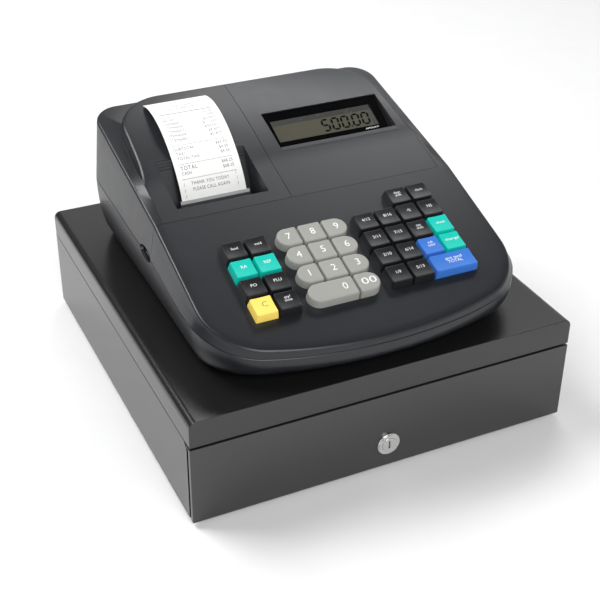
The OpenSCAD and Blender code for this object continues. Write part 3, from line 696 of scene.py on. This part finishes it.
def key_dish(name):
    """Height of a key's top at (x, s): a shallow dish, or nearly flat on the digit keys."""
    x0, s0, x1, s1 = EXTENT[name]
    cx, cy = (x0 + x1) / 2, (s0 + s1) / 2
    half = (s1 - s0) / 2
    deep = 0.15 if name in DIGITS else 0.85
    span = (x1 - x0) / 2 / half

    def top(x, s):
        u, v = (x - cx) / (half * span), (s - cy) / half
        return RISE - deep + deep * (0.45 * u * u + 0.75 * v * v)
    return top


def make_key(name):
    colour, legend = KEYS[name]
    digit = name in DIGITS
    top = key_dish(name)
    edge = 1.1 if digit else 0.55
    lean = 0.5 if digit else 0.95
    corner = 1.2 if digit else 1.0
    rows = [(0.0, lambda x, s: SKIRT), (0.0, lambda x, s: SLOPE_FOOT)]
    for k in (0.35, 0.7, 1.0):
        rows.append((lean * k, lambda x, s, k=k:
                     SLOPE_FOOT + (top(x, s) - edge - SLOPE_FOOT) * k))
    for i in range(1, 5):
        a = math.radians(90 * i / 4)
        rows.append((lean + edge * (1 - math.cos(a)),
                     lambda x, s, a=a: top(x, s) - edge * (1 - math.sin(a))))
    bm = bmesh.new()
    rings = []
    for inset, level in rows:
        ring = key_outline(name, inset, corner + (0.4 if digit else 0.2) - inset * 0.3)
        rings.append([bm.verts.new(Vector((x, s, level(x, s))) * MM) for x, s in ring])
    x0, s0, x1, s1 = EXTENT[name]
    cx, cy = (x0 + x1) / 2, (s0 + s1) / 2
    last = key_outline(name, rows[-1][0], corner)
    for share in (0.86, 0.68, 0.48, 0.26):
        ring = [(cx + (x - cx) * share, cy + (s - cy) * share) for x, s in last]
        rings.append([bm.verts.new(Vector((x, s, top(x, s))) * MM) for x, s in ring])
    n = len(rings[0])
    for low, high in zip(rings, rings[1:]):
        for i in range(n):
            j = (i + 1) % n
            bm.faces.new((low[i], low[j], high[j], high[i]))
    tip = bm.verts.new(Vector((cx, cy, top(cx, cy))) * MM)
    for i in range(n):
        bm.faces.new((rings[-1][i], rings[-1][(i + 1) % n], tip))
    # The underside, with the stem that presses the switch
    stem = 2.5
    corners = [(cx + u * stem, cy + v * stem) for u, v in ((1, -1), (1, 1), (-1, 1), (-1, -1))]
    square = [bm.verts.new(Vector((x, s, SKIRT)) * MM) for x, s in corners]
    low = [bm.verts.new(Vector((x, s, STEM_FOOT)) * MM) for x, s in corners]
    quadrant = []
    for x, s in key_outline(name, 0, 1.2):
        right, above = x >= cx, s >= cy
        quadrant.append(0 if right and not above else 1 if right else 2 if above else 3)
    for i in range(n):
        j = (i + 1) % n
        a, b = square[quadrant[i]], square[quadrant[j]]
        bm.faces.new((rings[0][j], rings[0][i], a) if a is b else (rings[0][j], rings[0][i], a, b))
    for i in range(4):
        j = (i + 1) % 4
        bm.faces.new((square[j], square[i], low[i], low[j]))
    bm.faces.new(list(reversed(low)))
    obj = from_bmesh(name + "_cap", bm, 40)
    obj.data.transform(on_deck())
    settle(obj, "key_" + colour, name, [name])

    width, depth = x1 - x0, s1 - s0
    lines = legend.split("\n")
    if digit:
        size = 6.6
        place = (x1 - depth * 0.47, cy + 0.6) if name == "key_digit_0" else (cx + 0.5, cy + 0.6)
        limit = 12.5 if len(legend) == 2 else None
    elif name == "key_clear":
        size, place, limit = 5.0, (cx + 1.2, cy + 1.5), None
    elif name == "key_total":
        size, place, limit = 3.0, (cx + 1.5, cy + 1.2), None
    else:
        size = 3.0 if "/" in legend and len(lines) == 1 else 2.5
        if legend in ("RA", "REF", "PO", "PLU", "-%", "NS"):
            size = 2.9
        place = (cx + 0.6, cy + (1.6 if len(lines) == 1 else 1.9))
        limit = 12.6 if legend == "charge" else None
    mesh = lettering(legend, size, place, on_deck(), bend=top, fit_width=limit)
    ink = GREY_INK if name == "key_clear" else WHITE_INK
    settle(mesh_piece(name + "_legend", mesh), ink, name)


for name in KEYS:
    make_key(name)


def block_outline(names, grow):
    """The opening in the deck around a block of keys."""
    x0 = min(EXTENT[n][0] for n in names)
    s0 = min(EXTENT[n][1] for n in names)
    x1 = max(EXTENT[n][2] for n in names)
    s1 = max(EXTENT[n][3] for n in names)
    return x0 - grow, s0 - grow, x1 + grow, s1 + grow


def wells(low, high, grow):
    """The three blocks' openings as solids, from low to high, grown sideways."""
    tools = []
    x0, s0, x1, s1 = block_outline(["key_feed", "key_quantity", "key_clear", "key_void"], grow)
    tools.append(prism("tool", rounded(x0, s0, x1, s1, 1.4), low, high, on_deck()))
    x0, s0, x1, s1 = block_outline(
        ["key_department_4", "key_department_1", "key_total", "key_no_sale"], grow)
    u0, _, _, v1 = block_outline(["key_department_shift", "key_clerk"], grow)
    r = 1.4
    shape = (disc(x1 - r, s0 + r, r, 5, -90, 0) + disc(x1 - r, v1 - r, r, 5, 0, 90)
             + disc(u0 + r, v1 - r, r, 5, 90, 180) + [(u0, s1)]
             + disc(x0 + r, s1 - r, r, 5, 90, 180) + disc(x0 + r, s0 + r, r, 5, 180, 270))
    tools.append(prism("tool", shape, low, high, on_deck()))
    rows = [("key_digit_0", "key_digit_00"), ("key_digit_1", "key_digit_3"),
            ("key_digit_4", "key_digit_6"), ("key_digit_7", "key_digit_9")]
    right, left = [], []
    pitch = EXTENT["key_digit_7"][1] - EXTENT["key_digit_4"][1]
    for a, b in rows:
        hy = (EXTENT[b][3] - EXTENT[b][1]) / 2
        mid = (EXTENT[b][3] + EXTENT[b][1]) / 2
        r = hy + grow
        # Neighbouring scallops meet half-way between the rows
        end = math.degrees(math.asin(min(1.0, pitch / 2 / r)))
        top_end = 90 if a == "key_digit_7" else end
        low_end = 90 if a == "key_digit_0" else end
        arc = disc(EXTENT[b][2] - hy, mid, r, 16, -low_end, top_end)
        right += arc[1:] if right and abs(arc[0][1] - right[-1][1]) < 0.01 else arc
        arc = disc(EXTENT[a][0] + hy, mid, r, 16, 180 - top_end, 180 + low_end)
        left = (arc[:-1] if left and abs(arc[-1][1] - left[0][1]) < 0.01 else arc) + left
    tools.append(prism("tool", right + left, low, high, on_deck()))
    return merge(tools)


# ------------------------------------------------------------------ head mouldings

NOTCH_Y, NOTCH_Z = DECK_Y + 12.6, HEAD_Z + 48


def thumb_notch():
    """A rounded scoop for the thumb, across the parting line."""
    x = -RIM_W / 2 - FLARE
    rings = []
    for depth, share in ((-5, 1.12), (0.5, 1.0), (3.0, 0.94), (5.2, 0.8), (6.6, 0.58), (7.3, 0.3)):
        rings.append([(y, z, x + depth) for y, z in
                      [(NOTCH_Y + 12.4 * share * math.cos(a), NOTCH_Z + 5.6 * share * math.sin(a))
                       for a in (math.radians(9 * i) for i in range(40))]])
    tool = loft("tool", rings)
    tool.data.transform(TO_X)
    return tool


def notch_back(low, high):
    """The pad behind the scoop, between two heights, inside the side wall."""
    x = -RIM_W / 2 - FLARE
    return box_tool((x + 3.5, DECK_Y + 0.4, low), (x + 9.5, NOTCH_Y + 14, high))


def post_tool(x, y, r, low, high):
    return prism("tool", disc(x, y, r, 24), low, high)


def whole_shell():
    return thin_shell("head_shell", upper_rings(0), upper_rings(WALL))


upper = whole_shell()
upper.name = "upper_case_skin"
gap = GAP / 2
cut(upper, box_tool((-200, DECK_Y - gap, HEAD_Z), (SPLIT_X + gap, 200, HEAD_Z + 200)))
cut(upper, wells(-10, -1.2, 1.5), "UNION")
x0, s0, x1, s1 = WINDOW
border = box_tool((x0 - 2, s0 - 2, -12), (x1 + 2, s1 + 2, -1), on_hood())
cut(border, box_tool((x0 - 9, -60, -20), (x1 + 9, 20, -4), on_display()))
cut(upper, border, "UNION")
for px, py in POSTS:
    under_skin = HEAD_Z + (rim_height(py) if py < 0 else hood_height(py)) - 1.4
    cut(upper, post_tool(px, py, 4, HEAD_Z + 32, under_skin), "UNION")
cut(upper, wells(-8.5, 3, 0.15))
cut(upper, prism("tool", rounded(x0, s0, x1, s1, 0.8, 3), -12, 4, on_hood()))
# The opening's lower edge is rolled over
roll = across([(s0 - 2.4, 0.4), (s0 - 2.4, -0.02), (s0 - 1.7, -0.12), (s0 - 1.0, -0.42),
               (s0 - 0.4, -0.95), (s0, -1.8), (s0 + 2, -1.8), (s0 + 2, 0.4)], x0 + 0.4, x1 - 0.4)
roll.data.transform(on_hood())
cut(upper, roll)
# Holes for the keys' stems
holes = []
for a, b, c, d in EXTENT.values():
    mx, ms = (a + c) / 2, (b + d) / 2
    holes.append(box_tool((mx - 3.1, ms - 3.1, -11), (mx + 3.1, ms + 3.1, -8), on_deck()))
cut(upper, merge(holes))
settle(upper, "case_plastic", BODY_OF["upper_case"], ["upper_case"])


def groove(points):
    """A thin dark line laid into the skin along points (x, y, z)."""
    bm = bmesh.new()
    rows = []
    for i, p in enumerate(points):
        a, b = points[max(i - 1, 0)], points[min(i + 1, len(points) - 1)]
        run = (Vector(b) - Vector(a)).normalized()
        side = Vector((-run.y, run.x, 0)).normalized() * 0.32 / 2
        rows.append([bm.verts.new((Vector(p) + side * u + Vector((0, 0, h))) * MM)
                     for u, h in ((-1, -0.15), (1, -0.15), (1, 0.025), (-1, 0.025))])
    for a, b in zip(rows, rows[1:]):
        for k in range(4):
            m = (k + 1) % 4
            bm.faces.new((a[k], a[m], b[m], b[k]))
    bm.faces.new(rows[0][::-1])
    bm.faces.new(rows[-1])
    return from_bmesh("groove", bm)


# The fine line around the panel in front of the display
edge_x = HOOD_HALF - 2.2
front = groove([(SPLIT_X + 0.4 + (edge_x - SPLIT_X - 0.4) * i / 24, DECK_Y, HEAD_Z + DECK_TOP)
                for i in range(25)])
side = groove([(edge_x, y, HEAD_Z + panel_height(y)) for y in (-24.8, -18, -10, 0, 8, 13)])
lines = merge([front, side])
lines.name = "panel_line"
settle(lines, GROOVE, BODY_OF["upper_case"])

# The recess the paper comes out of: its sides, and its back wall's rise, run and upper edge
RECESS = (-109.5, -30.0)
BACK_WALL_RISE, BACK_WALL_RUN, BACK_WALL_Y, BACK_WALL_Z = 36.9, 17, 39.5, 98.9


def recess_profile(grow):
    floor = HEAD_Z + 62 - grow
    return [(-13.3 - grow, HEAD_Z + 108), (-13.3 - grow, HEAD_Z + 81.7), (2 - grow, floor),
            (22.5 + grow, floor), (BACK_WALL_Y + grow, HEAD_Z + BACK_WALL_Z),
            (BACK_WALL_Y + grow, HEAD_Z + 112)]


cover = whole_shell()
cover.name = "printer_cover_skin"
cut(cover, box_tool((-200, DECK_Y + gap, HEAD_Z), (SPLIT_X - gap, 200, HEAD_Z + 200)), "INTERSECT")


def below_skin(tool, depth):
    """Keeps the part of a tool that lies under the hood's surface."""
    inside = [(-60, HEAD_Z)] + [(y, HEAD_Z + hood_height(y) - depth) for y in
              (-60, -25, 20, 26, 32, 38, 44, 50)] + [(50, HEAD_Z)]
    cut(tool, across(inside[::-1], -200, 200), "INTERSECT")
    return tool


lining = across(recess_profile(2)[::-1], RECESS[0] - 2, RECESS[1] + 2)
cut(cover, below_skin(lining, 0.6), "UNION")
cut(cover, across(recess_profile(0)[::-1], *RECESS))
# Three small ribs across the top of its back wall
RIB = ((-0.45, -0.8), (0.45, -0.8), (0.45, 0.55), (0.2, 0.8), (-0.2, 0.8), (-0.45, 0.55))
lean = math.atan2(BACK_WALL_RISE, BACK_WALL_RUN)
for d in (2.0, 4.6, 7.2):
    y = BACK_WALL_Y - d * math.cos(lean)
    z = HEAD_Z + BACK_WALL_Z - d * math.sin(lean)
    u, v = (math.cos(lean), math.sin(lean)), (-math.sin(lean), math.cos(lean))
    rib = [(y + a * u[0] + b * v[0], z + a * u[1] + b * v[1]) for a, b in RIB]
    cut(cover, across(rib, RECESS[0] - 1, RECESS[1] + 1), "UNION")
# The slot for the paper
PAPER_X = (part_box("receipt")[0].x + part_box("receipt")[1].x) / 2 / MM
cut(cover, box_tool((PAPER_X - 34, 10, HEAD_Z + 50), (PAPER_X + 34, 22, HEAD_Z + 70)))
seam = HEAD_Z + seam_height(NOTCH_Y)
cut(cover, notch_back(seam + 0.6, seam + 8), "UNION")
cut(cover, thumb_notch())
settle(cover, "case_plastic", BODY_OF["printer_cover"], ["printer_cover"])

base = thin_shell("head_base_skin", base_rings(0), base_rings(WALL))
for px in (-95, 95):
    for py in (-120, 100):
        cut(base, post_tool(px, py, 7, HEAD_Z, HEAD_Z + 3), "UNION")
for px, py in POSTS:
    cut(base, post_tool(px, py, 4.5, HEAD_Z + 3, HEAD_Z + 31.5), "UNION")
# The cord outlet
OUTLET = (90, HEAD_Z + 16)
cut(base, along_y(disc(*OUTLET, 7, 32), RIM_BACK - 9, RIM_BACK + 2), "UNION")
cut(base, along_y(disc(*OUTLET, 4, 32), RIM_BACK - 12, RIM_BACK + 6))
cut(base, notch_back(seam - 8, seam - GAP - 0.6), "UNION")
cut(base, thumb_notch())
settle(base, "case_plastic", BODY_OF["head_base"], ["head_base"])
for obj in (upper, cover, base):
    shade(obj, 20)

# ------------------------------------------------------------------ cabinet and drawer

# Painted light: the drawer front's paint is the cabinet paint made lighter and glossier, a painted
# reflection standing for the brighter light on the front face
PAINTED_LIGHT_FRONT = finish("drawer_paint_painted_light", srgb(36, 36, 37), 0.30, 0.7, 0.0005, 0.03, 0.006, 0.8)
for node, look, width in (
        ("cabinet_cover", "cabinet_paint", 0.5), ("cabinet_body", "cabinet_paint", 0.35),
        ("drawer_front", "cabinet_paint", 0.5), ("drawer_tray", "bare_steel", 0.3),
        ("till_insert", "till_plastic", 0.6),
        *(("bill_clip_%d" % i, "clip_plastic", 0.5) for i in range(1, 5)),
        ("lock_barrel", "lock_chrome", 0.25),
        ("lock_plug", "lock_chrome", 0.2), ("drawer_latch", "bare_steel", 0.4),
        ("rubber_feet", "foot_rubber", 0.6),
        ("paper_roll", "paper", 0.3), ("printer_unit", "mechanism_plastic", 0.5),
        ("platen_roller", "platen_rubber", 0.3), ("main_board", "circuit_board", 0.15)):
    piece = softened(node, look, width)
    # The drawer front takes the lightened copy of the cabinet paint, which is painted light
    if node == "drawer_front":
        piece.data.materials.clear()
        piece.data.materials.append(PAINTED_LIGHT_FRONT)

# The tear bar: a pale blade in a dark holder
holder = across([(9.2, HEAD_Z + 59), (11.2, HEAD_Z + 59), (14.7, HEAD_Z + 69.6),
                 (13.0, HEAD_Z + 69.8)], PAPER_X - 31, PAPER_X + 31)
holder.name = "tear_bar_holder"
soften(holder, 0.2)
settle(holder, "mechanism_plastic", BODY_OF["tear_bar"], ["tear_bar"])
blade = across([(13.2, HEAD_Z + 69.4), (14.4, HEAD_Z + 69.2), (15.3, HEAD_Z + 71.9),
                (14.5, HEAD_Z + 72.1)], PAPER_X - 30.5, PAPER_X + 30.5)
blade.name = "tear_bar_blade"
soften(blade, 0.15)
settle(blade, "tear_plastic", BODY_OF["tear_bar"])
# The dark lining beside the paper slot
pad = across(rounded(12.5, HEAD_Z + 61.5, 18.5, HEAD_Z + 65.0, 1.7, 5), -37.5, -31.5)
pad.name = "paper_slot_pad"
soften(pad, 1.2, 3)
settle(pad, "platen_rubber", BODY_OF["printer_cover"])

# Screws through the cover's back skirt
SCREW_Z = HEAD_Z - 11
y0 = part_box("cabinet_cover")[1].y / MM
for i, px in enumerate((-140, -47, 47, 140)):
    screw = along_y(disc(px, SCREW_Z, 3.1, 24), y0 - 0.5, y0 + 1.3)
    for turn in (0, 90):
        slot = along_y([(-1.9, -0.35), (1.9, -0.35), (1.9, 0.35), (-1.9, 0.35)], 0, 2)
        slot.data.transform(Matrix.Translation(Vector((px, y0 + 0.7, SCREW_Z)) * MM)
                            @ Matrix.Rotation(math.radians(turn + 20 * i), 4, "Y"))
        cut(screw, slot)
    screw.name = "cover_screw_%d" % (i + 1)
    soften(screw, 0.3)
    settle(screw, "bare_steel", BODY_OF["cabinet_cover"])

# ------------------------------------------------------------------ display

# The clear part of the window, down from its upper edge
gx0, gs0, gx1, gs1 = 5.0, -33.6, 101.0, -9.2
frame_outline = rounded(x0 + 0.3, s0 - s1 + 0.2, x1 - 0.3, -0.3, 0.8, 3)
panel = prism("display_window_panel", frame_outline, -2, 0)
cut(panel, prism("tool", rounded(gx0, gs0, gx1, gs1, 0.8, 3), -5, 4))
soften(panel, 0.2)
panel.data.transform(on_display())
settle(panel, "window_plastic", BODY_OF["display_window"], ["display_window"])

lcd = box_tool((x0 - 1, s0 - s1 - 1, -9), (x1 + 1, 1, -4))
cut(lcd, box_tool((gx0 - 1, gs0 - 1, -4.5), (gx1 + 1, gs1 + 1, -2.1)), "UNION")
lcd.name = "display_lcd_body"
soften(lcd, 0.2)
lcd.data.transform(on_display())
settle(lcd, "lcd_glass", BODY_OF["display_lcd"], ["display_lcd"])

# The glass's ground edge along its top and right end
edge = across([(gs1 + 0.4, -2.0), (gs1 + 0.4, -0.5), (gs1 - 0.2, -0.35), (gs1 - 3.9, -1.75),
               (gs1 - 4.3, -2.0)], gx0 - 0.4, gx1 + 0.4)
edge.data.transform(on_display())
edge.name = "display_glass_edge"
settle(edge, GLASS_EDGE, BODY_OF["display_lcd"])
end = along_y([(gx1 - 3.4, -2.05), (gx1 + 0.4, -2.05), (gx1 + 0.4, -0.9), (gx1 - 0.2, -0.8)],
              gs0 - 0.4, gs1 - 4.2)
end.data.transform(on_display())
end.name = "display_glass_end"
settle(end, GLASS_EDGE, BODY_OF["display_lcd"])


DIGIT_W, DIGIT_H, DIGIT_BAR, DIGIT_LEAN = 6.0, 12.6, 1.9, 0.14


def segment_digit(char, x, s):
    """One seven-segment digit as flat hexagonal bars. x, s is its lower left corner."""
    on = {"0": "abcdef", "5": "afgcd"}[char]
    w, h, mid = DIGIT_W, DIGIT_H, DIGIT_H / 2
    spans = {"a": ((0, h), (w, h)), "g": ((0, mid), (w, mid)), "d": ((0, 0), (w, 0)),
             "f": ((0, mid), (0, h)), "b": ((w, mid), (w, h)),
             "e": ((0, 0), (0, mid)), "c": ((w, 0), (w, mid))}
    shapes = []
    for key in on:
        (ax, ay), (bx, by) = spans[key]
        length = math.hypot(bx - ax, by - ay)
        dx, dy = (bx - ax) / length, (by - ay) / length
        g, t = 0.35, DIGIT_BAR / 2
        outline = [(g, 0), (g + t, -t), (length - g - t, -t), (length - g, 0),
                   (length - g - t, t), (g + t, t)]
        shapes.append([(x + ax + u * dx - v * dy + DIGIT_LEAN * (ay + u * dy),
                        s + ay + u * dy + v * dx) for u, v in outline])
    return shapes


shapes = []
for char, px in (("5", 50.0), ("0", 59.4), ("0", 68.8), ("0", 79.4), ("0", 88.8)):
    shapes += segment_digit(char, px, -28.9)
shapes.append([(76.2, -29.6), (77.7, -29.6), (77.9, -28.2), (76.4, -28.2)])
digits = merge([prism("tool", shape, -2.1, -2.0, on_display()) for shape in shapes])
digits.name = "display_digits"
settle(digits, LCD_INK, BODY_OF["display_lcd"])
caption = lettering("AMOUNT", 1.9, (93.0, -36.3), on_display(), fit_width=13.5)
settle(mesh_piece("display_caption", caption), WHITE_INK, BODY_OF["display_window"])

# ------------------------------------------------------------------ receipt


def curve_point(t):
    """The receipt's curve, a cubic as (y, z) above the cabinet."""
    p = [(12.5, 58), (17, 93), (68, 132.5), (106.5, 120.2)]
    u = 1 - t
    w = (u ** 3, 3 * u * u * t, 3 * u * t * t, t ** 3)
    return Vector((sum(a * q[0] for a, q in zip(w, p)), sum(a * q[1] for a, q in zip(w, p))))


STEPS = 96
TRACK = [curve_point(i / STEPS) for i in range(STEPS + 1)]
RUN = [0.0]
for a, b in zip(TRACK, TRACK[1:]):
    RUN.append(RUN[-1] + (b - a).length)


def along_track(run):
    """The curve's point and outward direction at a distance along it."""
    run = min(max(run, 0.0), RUN[-1])
    i = next((k for k in range(STEPS) if RUN[k + 1] >= run), STEPS - 1)
    t = (run - RUN[i]) / (RUN[i + 1] - RUN[i])
    p = TRACK[i].lerp(TRACK[i + 1], t)
    d = (TRACK[min(i + 1, STEPS)] - TRACK[max(i - 1, 0)]).normalized()
    return p, Vector((-d.y, d.x))


def on_paper(x, run, out):
    """A point of the receipt: x from its middle, run from its hidden end, out of its face."""
    p, side = along_track(run)
    return Vector((PAPER_X + x, p.x + side.x * out, HEAD_Z + p.y + side.y * out)) * MM


HALF_PAPER = (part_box("receipt")[1].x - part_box("receipt")[0].x) / 2 / MM
bm = bmesh.new()
grid = {}
COLUMNS = 12
for side in (0, 1):
    for i in range(STEPS + 1):
        for j in range(COLUMNS + 1):
            x = HALF_PAPER * (2 * j / COLUMNS - 1)
            grid[side, i, j] = bm.verts.new(on_paper(x, RUN[i], 0.06 if side else -0.06))
for i in range(STEPS):
    for j in range(COLUMNS):
        for side in (0, 1):
            bm.faces.new([grid[side, a, b]
                          for a, b in ((i, j), (i, j + 1), (i + 1, j + 1), (i + 1, j))])
for i in range(STEPS):
    for j in (0, COLUMNS):
        bm.faces.new([grid[s, a, j] for s, a in ((0, i), (1, i), (1, i + 1), (0, i + 1))])
for j in range(COLUMNS):
    for i in (0, STEPS):
        bm.faces.new([grid[s, i, b] for s, b in ((0, j), (1, j), (1, j + 1), (0, j + 1))])
receipt = from_bmesh("receipt_sheet", bm, 60)
settle(receipt, "paper", BODY_OF["receipt"], ["receipt"])

TOTAL_RUN = RUN[-1]
LINES = [  # distance from the free end, size, left text, right text
    (32.3, 2.7, "10:15", "01-01"), (36.1, 2.7, "NO.0001", "0001"),
    (40.9, 2.7, "ITEM#001", "$2.00T1"), (45.2, 2.7, "ITEM#005", "$11.25T1"),
    (49.5, 2.7, "ITEM#003", "$36.50T1"), (53.9, 2.7, "ITEM#004", "$8.60T1"),
    (58.3, 2.7, "ITEM#002", "$5.40T1"), (67.0, 2.7, "SUBTOTAL", "$63.75"),
    (71.3, 2.7, "TAX1", "$4.50"), (75.6, 2.7, "TOTAL-TAX", "$4.50"),
    (84.1, 3.6, "TOTAL", "$68.25"), (88.6, 2.7, "CASH", "$68.25"),
]
ink = []


def print_line(text, size, x, from_end, align, narrow=0.84):
    """A line of print, size mm high, its left, right or middle at x."""
    mesh = lettering(text, size, (0, 0), None, lift=0.0, thick=0.05, spacing=1.15)
    for v in mesh.vertices:
        v.co.x *= narrow
    xs = [v.co.x / MM for v in mesh.vertices]
    left, right = min(xs), max(xs)
    shift = x - {"left": left, "right": right, "middle": (left + right) / 2}[align]
    for v in mesh.vertices:
        px, py, pz = v.co.x / MM + shift, v.co.y / MM, v.co.z / MM
        v.co = on_paper(px, TOTAL_RUN - from_end + py, 0.08 + pz)
    ink.append(mesh)


def rule(from_end, x0, x1, step=1.5, length=0.8, high=0.35):
    """A row of dashes across the paper."""
    bm = bmesh.new()
    x = x0
    while x < x1:
        corners = []
        for out in (0.05, 0.1):
            for dx, dy in ((0, 0), (length, 0), (length, high), (0, high)):
                corners.append(bm.verts.new(on_paper(x + dx, TOTAL_RUN - from_end + dy, out)))
        bm.faces.new(corners[4:])
        bm.faces.new(corners[3::-1])
        for k in range(4):
            m = (k + 1) % 4
            bm.faces.new((corners[k], corners[m], corners[4 + m], corners[4 + k]))
        x += step
    mesh = bpy.data.meshes.new("rule")
    bm.to_mesh(mesh)
    bm.free()
    ink.append(mesh)


for from_end, size, left, right in LINES:
    print_line(left, size, -HALF_PAPER + 5, from_end, "left")
    print_line(right, 2.7, HALF_PAPER - 6, from_end, "right")
print_line("WELCOME", 2.7, 0, 17.2, "middle")
print_line("SALES RECEIPT", 2.7, 0, 21.4, "middle")
print_line("THANK YOU TODAY", 2.9, -1, 97.6, "middle", 0.78)
print_line("PLEASE CALL AGAIN", 2.9, -1, 102.6, "middle", 0.78)
for at in (98.0, 103.0, 107.6):
    for x in (-HALF_PAPER + 4.5, HALF_PAPER - 6):
        print_line("/", 3.0, x, at - (3 if x > 0 else 0), "middle")
rule(13.0, -HALF_PAPER + 8, HALF_PAPER - 8)
rule(28.8, -HALF_PAPER + 5, HALF_PAPER - 6, 1.6, 1.1, 1.0)
for at in (63.7, 80.9, 93.7):
    rule(at, -HALF_PAPER + 4, HALF_PAPER - 5, 1.3, 0.9, 0.4)
settle(join_meshes("receipt_print", ink), PRINT_INK, BODY_OF["receipt"])

# ------------------------------------------------------------------ floor and light


def add_area(name, place, target, size, power):
    data = bpy.data.lights.new(name, "AREA")
    data.shape = "RECTANGLE"
    data.size, data.size_y = size
    data.energy = power
    lamp = bpy.data.objects.new(name, data)
    scene.collection.objects.link(lamp)
    aim = (Vector(target) - Vector(place)).to_track_quat("-Z", "Y")
    lamp.matrix_world = Matrix.Translation(place) @ aim.to_matrix().to_4x4()


bm = bmesh.new()
bmesh.ops.create_grid(bm, x_segments=8, y_segments=8, size=6)
floor = from_bmesh("studio_floor", bm)
floor.data.materials.append(finish("floor_paint", (0.94, 0.94, 0.94, 1), 0.75, 4.0, 0.01, 0.01,
                                   0.03, 0.15))

add_area("light_key", (-1.15, 1.0, 2.15), (0, 0, 0.1), (1.3, 1.1), 49)
add_area("light_fill", (-0.3, -1.95, 1.7), (0, 0, 0.1), (1.4, 1.2), 37)
add_area("light_strip", (0.86, 1.15, 1.70), (0, 0, 0.15), (1.1, 0.4), 9.5)

# A white band near the horizon, and a dim ceiling
world = bpy.data.worlds.new("studio_world")
world.use_nodes = True
nodes, links = world.node_tree.nodes, world.node_tree.links
coord = nodes.new("ShaderNodeTexCoord")
split = nodes.new("ShaderNodeSeparateXYZ")
links.new(coord.outputs["Generated"], split.inputs["Vector"])
ramp = nodes.new("ShaderNodeValToRGB")
ramp.color_ramp.elements[0].position = 0.46
ramp.color_ramp.elements[0].color = (0.80, 0.80, 0.80, 1)
ramp.color_ramp.elements[1].position = 0.56
ramp.color_ramp.elements[1].color = (0.06, 0.06, 0.062, 1)
links.new(split.outputs["Z"], ramp.inputs["Fac"])
links.new(ramp.outputs["Color"], nodes["Background"].inputs["Color"])
# The room is unlit towards the back left
toward = nodes.new("ShaderNodeVectorMath")
toward.operation = "DOT_PRODUCT"
toward.inputs[1].default_value = (-0.72, 0.69, 0.0)
links.new(coord.outputs["Generated"], toward.inputs[0])
dim = nodes.new("ShaderNodeMapRange")
preset(dim, {"From Min": 0.45, "From Max": 0.75, "To Min": 1.0, "To Max": 0.15})
links.new(toward.outputs["Value"], dim.inputs["Value"])
links.new(dim.outputs["Result"], nodes["Background"].inputs["Strength"])
scene.world = world
scene.view_settings.view_transform = "Standard"
